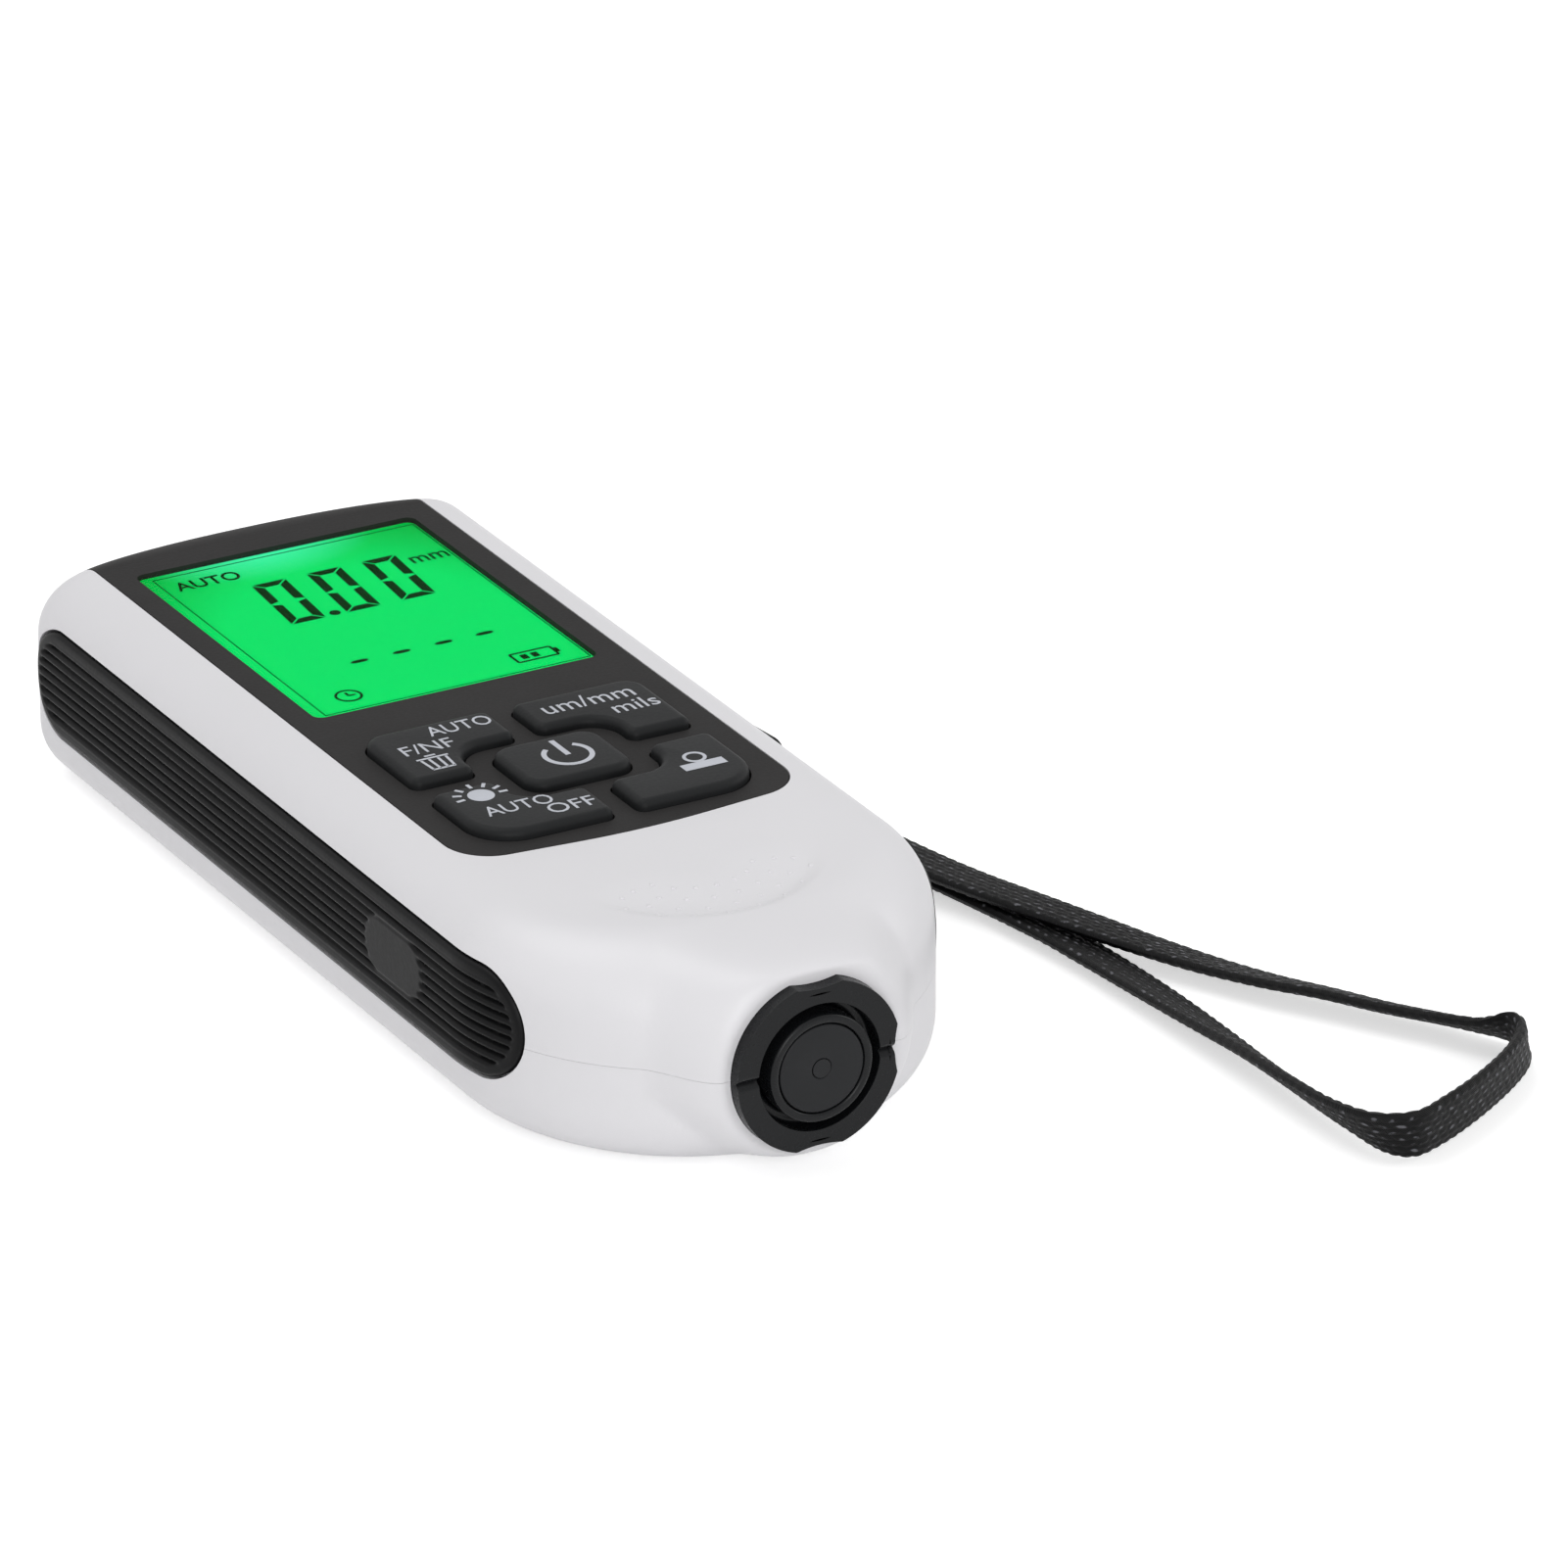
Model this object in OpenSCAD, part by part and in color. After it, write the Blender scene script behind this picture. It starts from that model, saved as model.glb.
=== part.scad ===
// Handheld coating thickness gauge: a two-part moulded case with a display, a five-key pad,
// rubber side grips, a spring-loaded probe in its nose and a wrist strap.
// Frame: +X to the right of the face, +Y towards the display end, +Z out of the face.
// The origin is at the middle of the rectangle that the gauge covers, on the surface it lies on.

/* [Body] */
// Width across the side walls
body_w = 46; // [44:0.5:50]
// Thickness from the back to the face
body_h = 20.6; // [20.2:0.2:23]
// Length from the display end to the tip of the nose
body_len = 114; // [112:1:122]
// Depth of the rounded display end in plan
far_depth = 9; // [8:0.5:11]
// Squareness of the display end in plan, 2 is an ellipse
far_power = 2.3; // [2:0.1:3]
// Wall thickness of the shells
wall = 2.4; // [2.2:0.1:3]
// Open seam between the two shells
seam_gap = 0.1; // [0.05:0.05:0.2]

/* [Edges] */
// Edge radius of the face along the sides
side_top_r = 5.8; // [5:0.2:7]
// Edge radius of the back along the sides
side_back_r = 5.6; // [5:0.2:7]
// Edge radius of the face at the nose
nose_top_r = 9.4; // [8:0.2:9.8]
// Edge radius of the back at the nose
nose_back_r = 4.8; // [4:0.2:6]
// Edge radius of the face at the display end
far_top_r = 8; // [6:0.2:8.4]
// Edge radius of the back at the display end
far_back_r = 6.4; // [5:0.2:7.4]

/* [Thumb dish] */
// Radius of the sphere that dishes the face in front of the keys
dish_r = 60; // [50:1:80]
// Depth of the dish
dish_depth = 0.65; // [0.4:0.05:0.8]
// Distance of the dish from the tip of the nose
dish_from_nose = 19.5; // [18:0.5:21]

/* [Face panel] */
// Width of the dark face panel
panel_w = 34.6; // [34.4:0.1:35.4]
// Thickness of the face panel
panel_t = 1.4; // [1.2:0.1:1.5]
// Margin of the panel below the keys
panel_margin = 3.6; // [3.2:0.1:4]
// Rise of the lower edge from its middle to its corners
panel_bow = 1.7; // [1:0.1:2.5]
// Corner radius at the lower edge
panel_corner_r = 4.5; // [3:0.1:6]
// How far the panel runs down the display end
panel_drop = 7; // [5:0.5:8]
// Gap round the panel in its recess
panel_gap = 0.15; // [0.1:0.05:0.25]
// Gap under the panel for its adhesive
glue_gap = 0.05; // [0.02:0.01:0.1]

/* [Display] */
// Width of the display window
window_w = 29.5; // [28:0.1:30.5]
// Length of the display window
window_l = 37.6; // [36:0.1:38.4]
// Corner radius of the display window
window_r = 1; // [0.5:0.1:2]
// Distance of the window's middle from the display end
window_from_far = 30.4; // [30:0.1:31.4]
// Depth of the lens below the face
lens_recess = 0.2; // [0.1:0.05:0.5]
// Thickness of the clear lens
lens_t = 0.2; // [0.15:0.05:0.4]
// Thickness of the display glass
lcd_t = 1.6; // [1.2:0.1:1.8]
// Gap round the lens and the glass
window_gap = 0.15; // [0.1:0.05:0.3]

/* [Keypad] */
// Distance from the middle of the window to the middle of the keys
keys_from_window = 38.8; // [38.4:0.1:39]
// Width over the four outer keys
pad_w = 28.6; // [28:0.1:29.2]
// Length over the four outer keys
pad_l = 25; // [24.4:0.1:25.4]
// Width of the middle key
power_w = 10.8; // [9.6:0.1:11.4]
// Length of the middle key
power_l = 9; // [8.4:0.1:9.8]
// Space between the left and the right keys
key_gap_x = 2.5; // [2:0.1:3]
// Space between the upper and the lower keys
key_gap_y = 3; // [2.2:0.1:3.2]
// Space between the middle key and the keys beside it
key_moat_x = 2.6; // [2.2:0.1:2.8]
// Space between the middle key and the keys above and below it
key_moat_y = 2; // [1.6:0.1:2.4]
// Height of the keys above the face
key_proud = 1; // [0.8:0.1:1.2]
// Radius of the keys' upper edges
key_edge_r = 0.5; // [0.3:0.1:0.7]
// Gap round each key
key_clear = 0.25; // [0.2:0.05:0.35]
// Travel of a key
key_travel = 0.8; // [0.5:0.1:0.9]
// Thickness of the rubber mat that carries the keys
mat_t = 0.8; // [0.6:0.1:1]
// Radius of the contact under each key
pill_r = 1.6; // [1.2:0.1:2]

/* [Side grips] */
// Height of a grip
grip_h = 10.7; // [10:0.1:11.4]
// Height of a grip's middle above the back
grip_z = 11.3; // [11:0.1:12]
// Distance of a grip's near end from the tip of the nose
grip_from_nose = 13.4; // [11:0.2:16]
// Distance of a grip's far end from the display end
grip_from_far = 7; // [6:0.2:9]
// How far the grips stand out of the case
grip_proud = 0.2; // [0.1:0.05:0.4]
// Depth of the grips in the case
grip_depth = 1.3; // [1:0.1:1.4]
// Number of grooves in a grip
groove_count = 8; // [5:1:9]
// Width of a groove
groove_w = 0.5; // [0.3:0.05:0.6]
// Depth of a groove
groove_depth = 0.5; // [0.3:0.05:0.8]
// Width of the plain rim round the grooves
grip_rim = 1.3; // [1:0.1:1.8]
// Length of the plain oval in the grooves
oval_l = 11; // [8:0.5:14]
// Height of the plain oval in the grooves
oval_h = 5.6; // [4:0.2:7]
// Distance of the plain oval from the grip's near end
oval_from_end = 20.5; // [18:0.5:30]
// Gap round a grip in its recess
grip_gap = 0.15; // [0.1:0.05:0.25]

/* [Probe] */
// Radius of the collar round the probe
collar_r = 8.2; // [7.8:0.1:8.4]
// How far the collar stands out of the nose
collar_proud = 2.6; // [2.2:0.05:3]
// Depth of the collar's head
collar_head = 4.2; // [3.6:0.1:5]
// Chamfer on the collar's front edge
collar_chamfer = 0.5; // [0.2:0.05:0.7]
// Radius of the ring-shaped groove inside the collar
moat_r = 6.1; // [5.9:0.05:6.4]
// Depth of the ring-shaped groove
moat_depth = 2; // [1:0.1:2.4]
// Radius of the moving sleeve
sleeve_r = 5.15; // [5:0.05:5.5]
// Running clearance of the sleeve in the collar
sleeve_clear = 0.05; // [0.03:0.01:0.08]
// How far the sleeve stands out of the collar
sleeve_proud = 0.45; // [0.3:0.05:0.8]
// Radius of the sensing face
tip_r = 4.2; // [3.9:0.05:4.3]
// Gap round the sensing face
tip_gap = 0.1; // [0.05:0.05:0.15]
// Radius of the hard contact in the middle of the sensing face
pole_r = 0.9; // [0.6:0.05:1.2]
// Radius of the notches in the collar's rim
scallop_r = 10; // [8:0.5:12]
// Depth of the notches in the collar's rim
scallop_depth = 0.6; // [0.4:0.05:0.8]
// Width of the two cross grooves in the collar's face
vee_w = 0.7; // [0.5:0.1:1]
// Radius of the raised seat round the collar
seat_r = 8.9; // [8.7:0.1:9.2]
// Length of the probe spring
probe_spring_l = 8; // [7:0.2:9]
// Wire thickness of the springs
wire_d = 0.6; // [0.5:0.05:0.8]

/* [Battery bay] */
// Diameter of a cell
cell_d = 10.5; // [10.1:0.1:10.8]
// Length of a cell without its button
cell_l = 43.5; // [43:0.1:44]
// Space between the two cells
cell_gap = 0.6; // [0.4:0.1:1]
// Length of the battery springs
cell_spring_l = 4; // [3.5:0.1:4.5]
// Radius of the battery springs
cell_spring_r = 2.6; // [2.2:0.1:3]
// Thickness of the contact plates
contact_t = 0.4; // [0.3:0.05:0.6]
// Distance of the bay from the display end
bay_from_far = 11; // [10.6:0.2:12]
// Thickness of the battery door
door_t = 1.4; // [1.2:0.1:1.6]
// Gap round the battery door
door_gap = 0.2; // [0.15:0.05:0.3]
// Depth of the door below the back face
door_sink = 0.2; // [0.1:0.05:0.3]
// Width of the ledge that the door lies against
door_ledge = 1.2; // [0.8:0.1:1.6]

/* [Board and screws] */
// Thickness of the circuit board
board_t = 1.6; // [1:0.1:1.7]
// Width of the circuit board
board_w = 36.6; // [36:0.2:37.4]
// Distance of the case screws from the middle
screw_x = 15.6; // [15.4:0.1:15.8]
// Distance of the far screws from the display end
screw_from_far = 7.9; // [7.6:0.1:8.2]
// Distance of the near screws below the keys
screw_below_keys = 5.5; // [5.4:0.1:6]
// Thread diameter of the case screws
screw_d = 2.2; // [2:0.1:2.5]
// Head diameter of the case screws
screw_head_d = 4; // [3.6:0.1:4.2]
// Depth of the screw heads in the back
screw_sink = 3; // [2.6:0.2:4]
// Diameter of the screw posts
post_d = 5.6; // [5.4:0.1:5.8]

/* [Wrist strap] */
// Width of the strap's tape
strap_w = 5.3; // [4.5:0.1:5.6]
// Thickness of the strap's tape
strap_t = 1.2; // [1:0.1:1.3]
// Distance of the strap's eyelet from the display end
eyelet_from_far = 11; // [10.6:0.2:11.4]
// Diameter of the post in the eyelet
eyelet_post_d = 2; // [1.6:0.1:2.4]
// Width of the bead on the strap
bead_w = 10.8; // [8.6:0.1:11.2]
// Height of the bead on the strap
bead_h = 5.6; // [4.8:0.1:6.2]
// Length of the bead on the strap
bead_l = 5; // [4:0.2:7]

/* [Hidden] */
$fn = 48;

// Colours of the pieces
white_abs = "#E0DFE2";
panel_grey = "#4A4848";
key_grey = "#333436";
rubber_black = "#1C1D1F";
probe_black = "#17181A";
steel_grey = "#B8BBC0";

// Places along the body
hw = body_w / 2;
y_far = (body_len + collar_proud + sleeve_proud) / 2;
y_nose = y_far - body_len;
y_collar = y_nose - collar_proud;
y_sleeve = y_collar - sleeve_proud;
nose_cy = y_nose + hw;
far_cy = y_far - far_depth;
split = body_h / 2;
probe_z = body_h / 2;
window_y = y_far - window_from_far;
keys_y = window_y - keys_from_window;
eps = 0.01;
over = 1;

// Resolution of the moulded skin
nose_steps = 28;
far_steps = 18;
edge_steps = 6;

// Distance that a rounded edge of radius r draws in at a height dz past its start
function draw_in(r, dz) = r - sqrt(max(0, r * r - dz * dz));

// Inset of the skin at height z for a face radius rt and a back radius rb, d deep in the wall
function edge_in(z, d, rt, rb) =
    z > body_h - rt ? draw_in(rt - d, z - (body_h - rt)) :
    z < rb ? draw_in(rb - d, rb - z) : 0;

function spow(v, p) = sign(v) * pow(abs(v), p);

// One level of the skin: a half round nose, straight sides and a squarish display end
function skin_ring(z, d) =
    let (s = d + edge_in(z, d, side_top_r, side_back_r))
    let (n = d + edge_in(z, d, nose_top_r, nose_back_r))
    let (f = d + edge_in(z, d, far_top_r, far_back_r))
    concat(
        [for (i = [0:nose_steps]) let (a = 180 + 180 * i / nose_steps)
            [(hw - s) * cos(a), nose_cy + (hw - n) * sin(a), z]],
        [for (i = [0:far_steps]) let (a = 180 * i / far_steps)
            [(hw - s) * spow(cos(a), 2 / far_power),
             far_cy + (far_depth - f) * pow(max(0, sin(a)), 2 / far_power), z]]);

// Heights of the levels above and below the seam
top_r = max(side_top_r, nose_top_r, far_top_r);
back_r = max(side_back_r, nose_back_r, far_back_r);
function upper_levels(d) = [for (k = [0:edge_steps])
    body_h - top_r + (top_r - d) * sin(90 * k / edge_steps)];
function lower_levels(d) = [for (k = [0:edge_steps])
    back_r - (back_r - d) * cos(90 * k / edge_steps)];

// Solid between stacked rings of equal length
module stack(rings) {
    n = len(rings[0]);
    m = len(rings);
    polyhedron(
        points = [for (r = rings) each r],
        faces = concat(
            [[for (i = [0:n - 1]) i]],
            [for (r = [0:m - 2], i = [0:n - 1], t = [0:1])
                let (a = r * n + i, b = r * n + (i + 1) % n)
                t == 0 ? [a, a + n, b + n] : [a, b + n, b]],
            [[for (i = [n:-1:1]) (m - 1) * n + i % n]]),
        convexity = 6);
}

// The moulded form, d deep in its wall: the half above a height, the half below it, and both
module skin_upper(d, from) {
    stack([for (z = concat([from], upper_levels(d))) skin_ring(z, d)]);
}
module skin_lower(d, to) {
    stack([for (z = concat(lower_levels(d), [to])) skin_ring(z, d)]);
}
module skin_full(d) {
    stack([for (z = concat(lower_levels(d), upper_levels(d))) skin_ring(z, d)]);
}

// Polygon with rounded corners, grown by g: each corner is [x, y, radius], anticlockwise
arc_steps = 5;
function unit(v) = v / norm(v);
function round_corner(p, v, q, g) =
    let (a = unit([p[0] - v[0], p[1] - v[1]]), b = unit([q[0] - v[0], q[1] - v[1]]))
    let (turn = a[1] * b[0] - a[0] * b[1] > 0 ? 1 : -1)
    let (half = acos(a * b) / 2)
    let (r = max(0.05, v[2] + turn * g))
    let (mid = unit(a + b))
    let (c = [v[0], v[1]] + mid * (-turn * g + r) / sin(half))
    let (from = atan2(mid[1], mid[0]) + 180 - turn * (90 - half))
    [for (i = [0:arc_steps]) let (w = from + turn * (180 - 2 * half) * i / arc_steps)
        c + r * [cos(w), sin(w)]];
function rounded(corners, g = 0) =
    let (n = len(corners))
    [for (i = [0:n - 1])
        each round_corner(corners[(i + n - 1) % n], corners[i], corners[(i + 1) % n], g)];
function box_corners(w, l, r, y) =
    [[-w / 2, y - l / 2, r], [w / 2, y - l / 2, r], [w / 2, y + l / 2, r], [-w / 2, y + l / 2, r]];

module prism(corners, g, low, high) {
    translate([0, 0, low])
        linear_extrude(high - low)
            polygon(rounded(corners, g));
}

// A bar along Y with its axis at height z, from y0 to y1
module bar_y(r, y0, y1, x = 0, z = probe_z) {
    translate([x, y1, z])
        rotate([90, 0, 0])
            cylinder(r = r, h = y1 - y0);
}

// Outlines on the face
panel_low = keys_y - pad_l / 2 - panel_margin;
panel_bow_r = 70;
panel_corners = [
    [-panel_w / 2, panel_low + panel_bow, panel_corner_r], [0, panel_low, panel_bow_r],
    [panel_w / 2, panel_low + panel_bow, panel_corner_r],
    [panel_w / 2, y_far + over, eps], [-panel_w / 2, y_far + over, eps]];
window_corners = box_corners(window_w, window_l, window_r, window_y);
keypad_margin = 1;
keypad_corners = box_corners(pad_w + 2 * keypad_margin, pad_l + 2 * keypad_margin, panel_corner_r, keys_y);

// The recess that takes the panel, and the panel itself before its openings are cut
module panel_form(g, under) {
    difference() {
        prism(panel_corners, g, body_h - panel_drop - g, body_h + over);
        skin_upper(under, split - over);
    }
}

// Heights of the layers inside the case
lens_top = body_h - lens_recess;
lcd_top = lens_top - lens_t - eps;
lcd_under = lcd_top - lcd_t;
mat_top = body_h - wall - glue_gap;
mat_under = mat_top - mat_t;
pad_t = 0.1;
pill_h = 0.8;
contact_gap = 0.1;
pill_under = mat_under - pill_h;
board_top = pill_under - key_travel - contact_gap - pad_t;
board_under = board_top - board_t;

// Screws through the back into the front
screw_ys = [keys_y - pad_l / 2 - screw_below_keys, y_far - screw_from_far];
screw_sites = [for (x = [-screw_x, screw_x], y = screw_ys) [x, y]];
shoulder_w = 0.8;
shoulder_d = post_d + 2 * shoulder_w;
pilot_depth = 5;
post_clear = 0.2;
screw_bite = 0.3;
screw_clear = 0.3;

module at_screws() {
    for (s = screw_sites)
        translate([s[0], s[1], 0])
            children();
}

// Side grips: a slot with round ends, seen from the side
grip_near = y_nose + grip_from_nose;
grip_far = y_far - grip_from_far;
module grip_outline(g) {
    r = grip_h / 2 + g;
    translate([grip_near + grip_h / 2, grip_z - r])
        square([grip_far - grip_near - grip_h, 2 * r]);
    translate([grip_near + grip_h / 2, grip_z])
        circle(r);
    translate([grip_far - grip_h / 2, grip_z])
        circle(r);
}
module from_side(side, depth) {
    translate([side > 0 ? hw - depth : -hw - over, 0, 0])
        rotate([90, 0, 90])
            linear_extrude(depth + over)
                children();
}
grip_reach = 7;
// Recesses for both grips, cut round the half of the skin that is the child
module grip_recesses() {
    difference() {
        for (side = [-1, 1])
            from_side(side, grip_reach)
                grip_outline(grip_gap);
        children();
    }
}

// The raised round seat for the collar on the nose, and the holes that the collar and the guide fit
seat_rise = 1.25;
seat_y = y_nose - seat_rise;
seat_flare = 0.8;
seat_depth = 10;
collar_tube_r = moat_r + 1;
collar_tube_l = 9.6;
collar_fit = 0.05;
flange_r = sleeve_r + 0.8;
flange_t = 1.4;
stop_gap = 0.1;
flange_y = y_collar + collar_tube_l + stop_gap;
spring_y = flange_y + flange_t;
guide_r = flange_r + 0.3;
guide_wall = 1.1;
guide_near = y_collar + collar_tube_l;
guide_far = spring_y + probe_spring_l + guide_wall;
module nose_seat() {
    translate([0, seat_y + seat_depth, probe_z])
        rotate([90, 0, 0])
            cylinder(r1 = seat_r + seat_flare, r2 = seat_r, h = seat_depth);
}
module collar_holes() {
    bar_y(collar_r + collar_fit, seat_y - over, y_collar + collar_head + collar_fit);
    bar_y(collar_tube_r + collar_fit, seat_y, guide_far + collar_fit);
    bar_y(guide_r + guide_wall + collar_fit, guide_near + eps, guide_far + collar_fit);
}

// Front half of the case, with a recess and openings for the panel, the display and the keys
module front_shell() {
    color(white_abs)
        difference() {
            union() {
                difference() {
                    union() {
                        skin_upper(0, split + seam_gap / 2);
                        intersection() {
                            nose_seat();
                            translate([-hw, seat_y, split + seam_gap / 2])
                                cube([body_w, seat_depth, body_h]);
                        }
                    }
                    skin_upper(wall, split - over);
                }
                intersection() {
                    nose_block(split + seam_gap / 2, body_h);
                    skin_upper(wall / 2, split);
                }
                front_posts();
            }
            panel_form(panel_gap, panel_t + glue_gap);
            prism(window_corners, 0, board_top, body_h + over);
            prism(keypad_corners, 0, mat_top - over, body_h + over);
            translate([0, y_nose + dish_from_nose, body_h + dish_r - dish_depth])
                sphere(dish_r, $fn = 128);
            collar_holes();
            grip_recesses()
                skin_upper(grip_depth + glue_gap, split - over);
            at_screws()
                translate([0, 0, split - over])
                    cylinder(d = screw_d - screw_bite, h = pilot_depth + over);
        }
}

// Solid block behind the nose that holds the collar's tube and the probe's guide
block_wall = 1.5;
block_w = 2 * (collar_tube_r + block_wall);
module nose_block(low, high) {
    translate([-block_w / 2, y_nose, low])
        cube([block_w, guide_near - y_nose, high - low]);
}

// Posts of the front half: a shoulder that the board lies against, and a spigot through the board
module front_posts() {
    intersection() {
        at_screws() {
            translate([0, 0, board_top])
                cylinder(d = shoulder_d, h = body_h - board_top);
            translate([0, 0, split + seam_gap / 2])
                cylinder(d = post_d, h = body_h - split);
        }
        skin_upper(wall / 2, split);
    }
}

// Battery bay: two cells side by side between contact plates
bay_far = y_far - bay_from_far;
cell_button_l = 1;
cell_button_d = 3.8;
bay_l = cell_l + cell_button_l + cell_spring_l + 2 * contact_t;
bay_near = bay_far - bay_l;
bay_clear = 0.3;
bay_w = 2 * cell_d + cell_gap + 2 * bay_clear;
bay_wall = 1;
cell_x = (cell_d + cell_gap) / 2;
cell_z = door_sink + door_t + bay_clear + cell_d / 2;
bay_top = min(cell_z + cell_d / 2 - 1, board_under - 1);

// The door covers the bay, with a ledge all round
door_w = bay_w + 2 * door_ledge;
door_l = bay_l + 2 * door_ledge;
door_y = (bay_near + bay_far) / 2;
door_corner_r = 1.2;
door_corners = box_corners(door_w, door_l, door_corner_r, door_y);

// The strap's eyelet: a pocket in the right edge of the back, with a post across it
eyelet_y = y_far - eyelet_from_far;
eyelet_clear = 0.85;
eyelet_w = strap_w + 2 * eyelet_clear;
eyelet_wall = 1;
eyelet_low = 1.2;
eyelet_high = 5.6;
eyelet_post_in = 3;
eyelet_depth = 4.6;
eyelet_x = hw - eyelet_post_in;
eyelet_deep = hw - eyelet_depth;

// Rear half of the case, with the battery bay, the screw posts and the strap's eyelet
module rear_shell() {
    color(white_abs)
        difference() {
            union() {
                difference() {
                    union() {
                        skin_lower(0, split - seam_gap / 2);
                        intersection() {
                            nose_seat();
                            translate([-hw, seat_y, 0])
                                cube([body_w, seat_depth, split - seam_gap / 2]);
                        }
                    }
                    skin_lower(wall, split + over);
                }
                intersection() {
                    union() {
                        nose_block(0, split - seam_gap / 2);
                        at_screws()
                            cylinder(d = post_d, h = split - seam_gap / 2);
                        eyelet_block(split - seam_gap / 2);
                    }
                    skin_lower(wall / 2, split);
                }
                translate([-bay_w / 2 - bay_wall, bay_near - bay_wall, wall / 2])
                    cube([bay_w + 2 * bay_wall, bay_l + 2 * bay_wall, bay_top - wall / 2]);
            }
            translate([-bay_w / 2, bay_near, door_sink + door_t])
                cube([bay_w, bay_l, body_h]);
            prism(door_corners, door_gap, -over, door_sink + door_t + eps);
            eyelet_pocket();
            collar_holes();
            grip_recesses()
                skin_lower(grip_depth + glue_gap, split + over);
            at_screws() {
                translate([0, 0, -over])
                    cylinder(d = screw_head_d + screw_clear, h = screw_sink + over);
                cylinder(d = screw_d + screw_clear, h = split + over);
            }
        }
}

// Walls round the eyelet's pocket inside the case
module eyelet_block(high) {
    translate([eyelet_deep - eyelet_wall, eyelet_y - eyelet_w / 2 - eyelet_wall, 0])
        cube([hw, eyelet_w + 2 * eyelet_wall, min(high, eyelet_high + eyelet_wall)]);
}
module eyelet_pocket() {
    difference() {
        translate([eyelet_deep, eyelet_y - eyelet_w / 2, eyelet_low])
            cube([hw, eyelet_w, eyelet_high - eyelet_low]);
        translate([eyelet_x, eyelet_y, 0])
            cylinder(d = eyelet_post_d, h = split);
    }
}

// Dark panel with the window and the key openings; it runs over the edge of the display end
module face_panel() {
    color(panel_grey)
        difference() {
            intersection() {
                panel_form(0, panel_t);
                skin_upper(0, split);
            }
            prism(window_corners, 0, split, body_h + over);
            for (k = [0:4])
                prism(key_corners(k), key_clear, split, body_h + over);
        }
}

// Clear lens, display glass and backlight, stacked on the board
module display_lens() {
    color("#CFEFD9", 0.4)
        prism(window_corners, -window_gap, lens_top - lens_t, lens_top);
}
module lcd_glass() {
    color("#00E169")
        prism(window_corners, -window_gap, lcd_under, lcd_top);
}
backlight_lip = 0.6;
module backlight() {
    color("#DDE6E0")
        prism(window_corners, -window_gap - backlight_lip, board_top, lcd_under - eps);
}

// Board with holes for the posts, its controller, its buzzer and the contacts under the keys
board_margin = 0.4;
board_far_in = 0.6;
board_near = max(screw_ys[0] - shoulder_d / 2 - board_margin, guide_far + board_margin);
board_far = screw_ys[1] + shoulder_d / 2 - board_far_in;
board_corner_r = 5;
board_y = (board_near + board_far) / 2;
module circuit_board() {
    color("#1F5A34")
        difference() {
            prism(box_corners(board_w, board_far - board_near, board_corner_r, board_y),
                0, board_under, board_top);
            at_screws()
                translate([0, 0, board_under - over])
                    cylinder(d = post_d + 2 * post_clear, h = board_t + 2 * over);
        }
}
chip_size = 9;
chip_t = 1.2;
module controller_chip() {
    color("#202124")
        translate([-chip_size / 2, keys_y - chip_size / 2, board_under - chip_t])
            cube([chip_size, chip_size, chip_t]);
}
buzzer_r = 4.5;
buzzer_t = 2.4;
module buzzer() {
    color("#26272A")
        translate([-screw_x + buzzer_r / 2, keys_y, board_under - buzzer_t])
            difference() {
                cylinder(r = buzzer_r, h = buzzer_t);
                translate([0, 0, -over])
                    cylinder(r = buzzer_r / 4, h = over + buzzer_t / 2);
            }
}
pad_r = 2.4;
module contact_pads() {
    color("#C9A24A")
        for (k = [0:4])
            translate([key_site(k)[0], key_site(k)[1], board_top])
                cylinder(r = pad_r, h = pad_t);
}

// Rubber mat under the panel, open where the keys stand
mat_margin = 0.8;
module keypad_mat() {
    color(key_grey)
        difference() {
            prism(keypad_corners, mat_margin, mat_under, mat_top);
            for (k = [0:4])
                prism(key_corners(k), key_clear, mat_under - over, mat_top + over);
        }
}

// Keys: 0 is the middle one, 1 to 4 stand round it, cut back from it by the moat.
// Their corners start at the outer one, from which the whole top can be seen
power_r = 2;
key_small_r = 0.9;
key_outer_r = 2.2;
key_lower_r = 4.5;
notch_r = 3.2;
site_in_x = 1.4;
site_in_y = 2.4;
function quadrant(k) = [k == 1 || k == 3 ? -1 : 1, k <= 2 ? 1 : -1];
function key_corners(k) = k == 0 ? box_corners(power_w, power_l, power_r, keys_y) :
    let (q = quadrant(k))
    let (nx = power_w / 2 + key_moat_x, ny = power_l / 2 + key_moat_y)
    let (far_r = k <= 2 ? key_outer_r : key_lower_r)
    let (c = [[pad_w / 2, pad_l / 2, far_r], [key_gap_x / 2, pad_l / 2, key_small_r],
        [key_gap_x / 2, ny, key_small_r], [nx, ny, notch_r], [nx, key_gap_y / 2, key_small_r],
        [pad_w / 2, key_gap_y / 2, key_small_r]])
    let (m = [for (p = c) [q[0] * p[0], keys_y + q[1] * p[1], p[2]]])
    let (n = len(m))
    q[0] * q[1] > 0 ? m : [for (i = [n:-1:1]) m[i % n]];
function key_site(k) = k == 0 ? [0, keys_y] :
    let (q = quadrant(k))
    [q[0] * (pad_w / 2 - pad_r - site_in_x), keys_y + q[1] * (pad_l / 2 - pad_r - site_in_y)];

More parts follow.
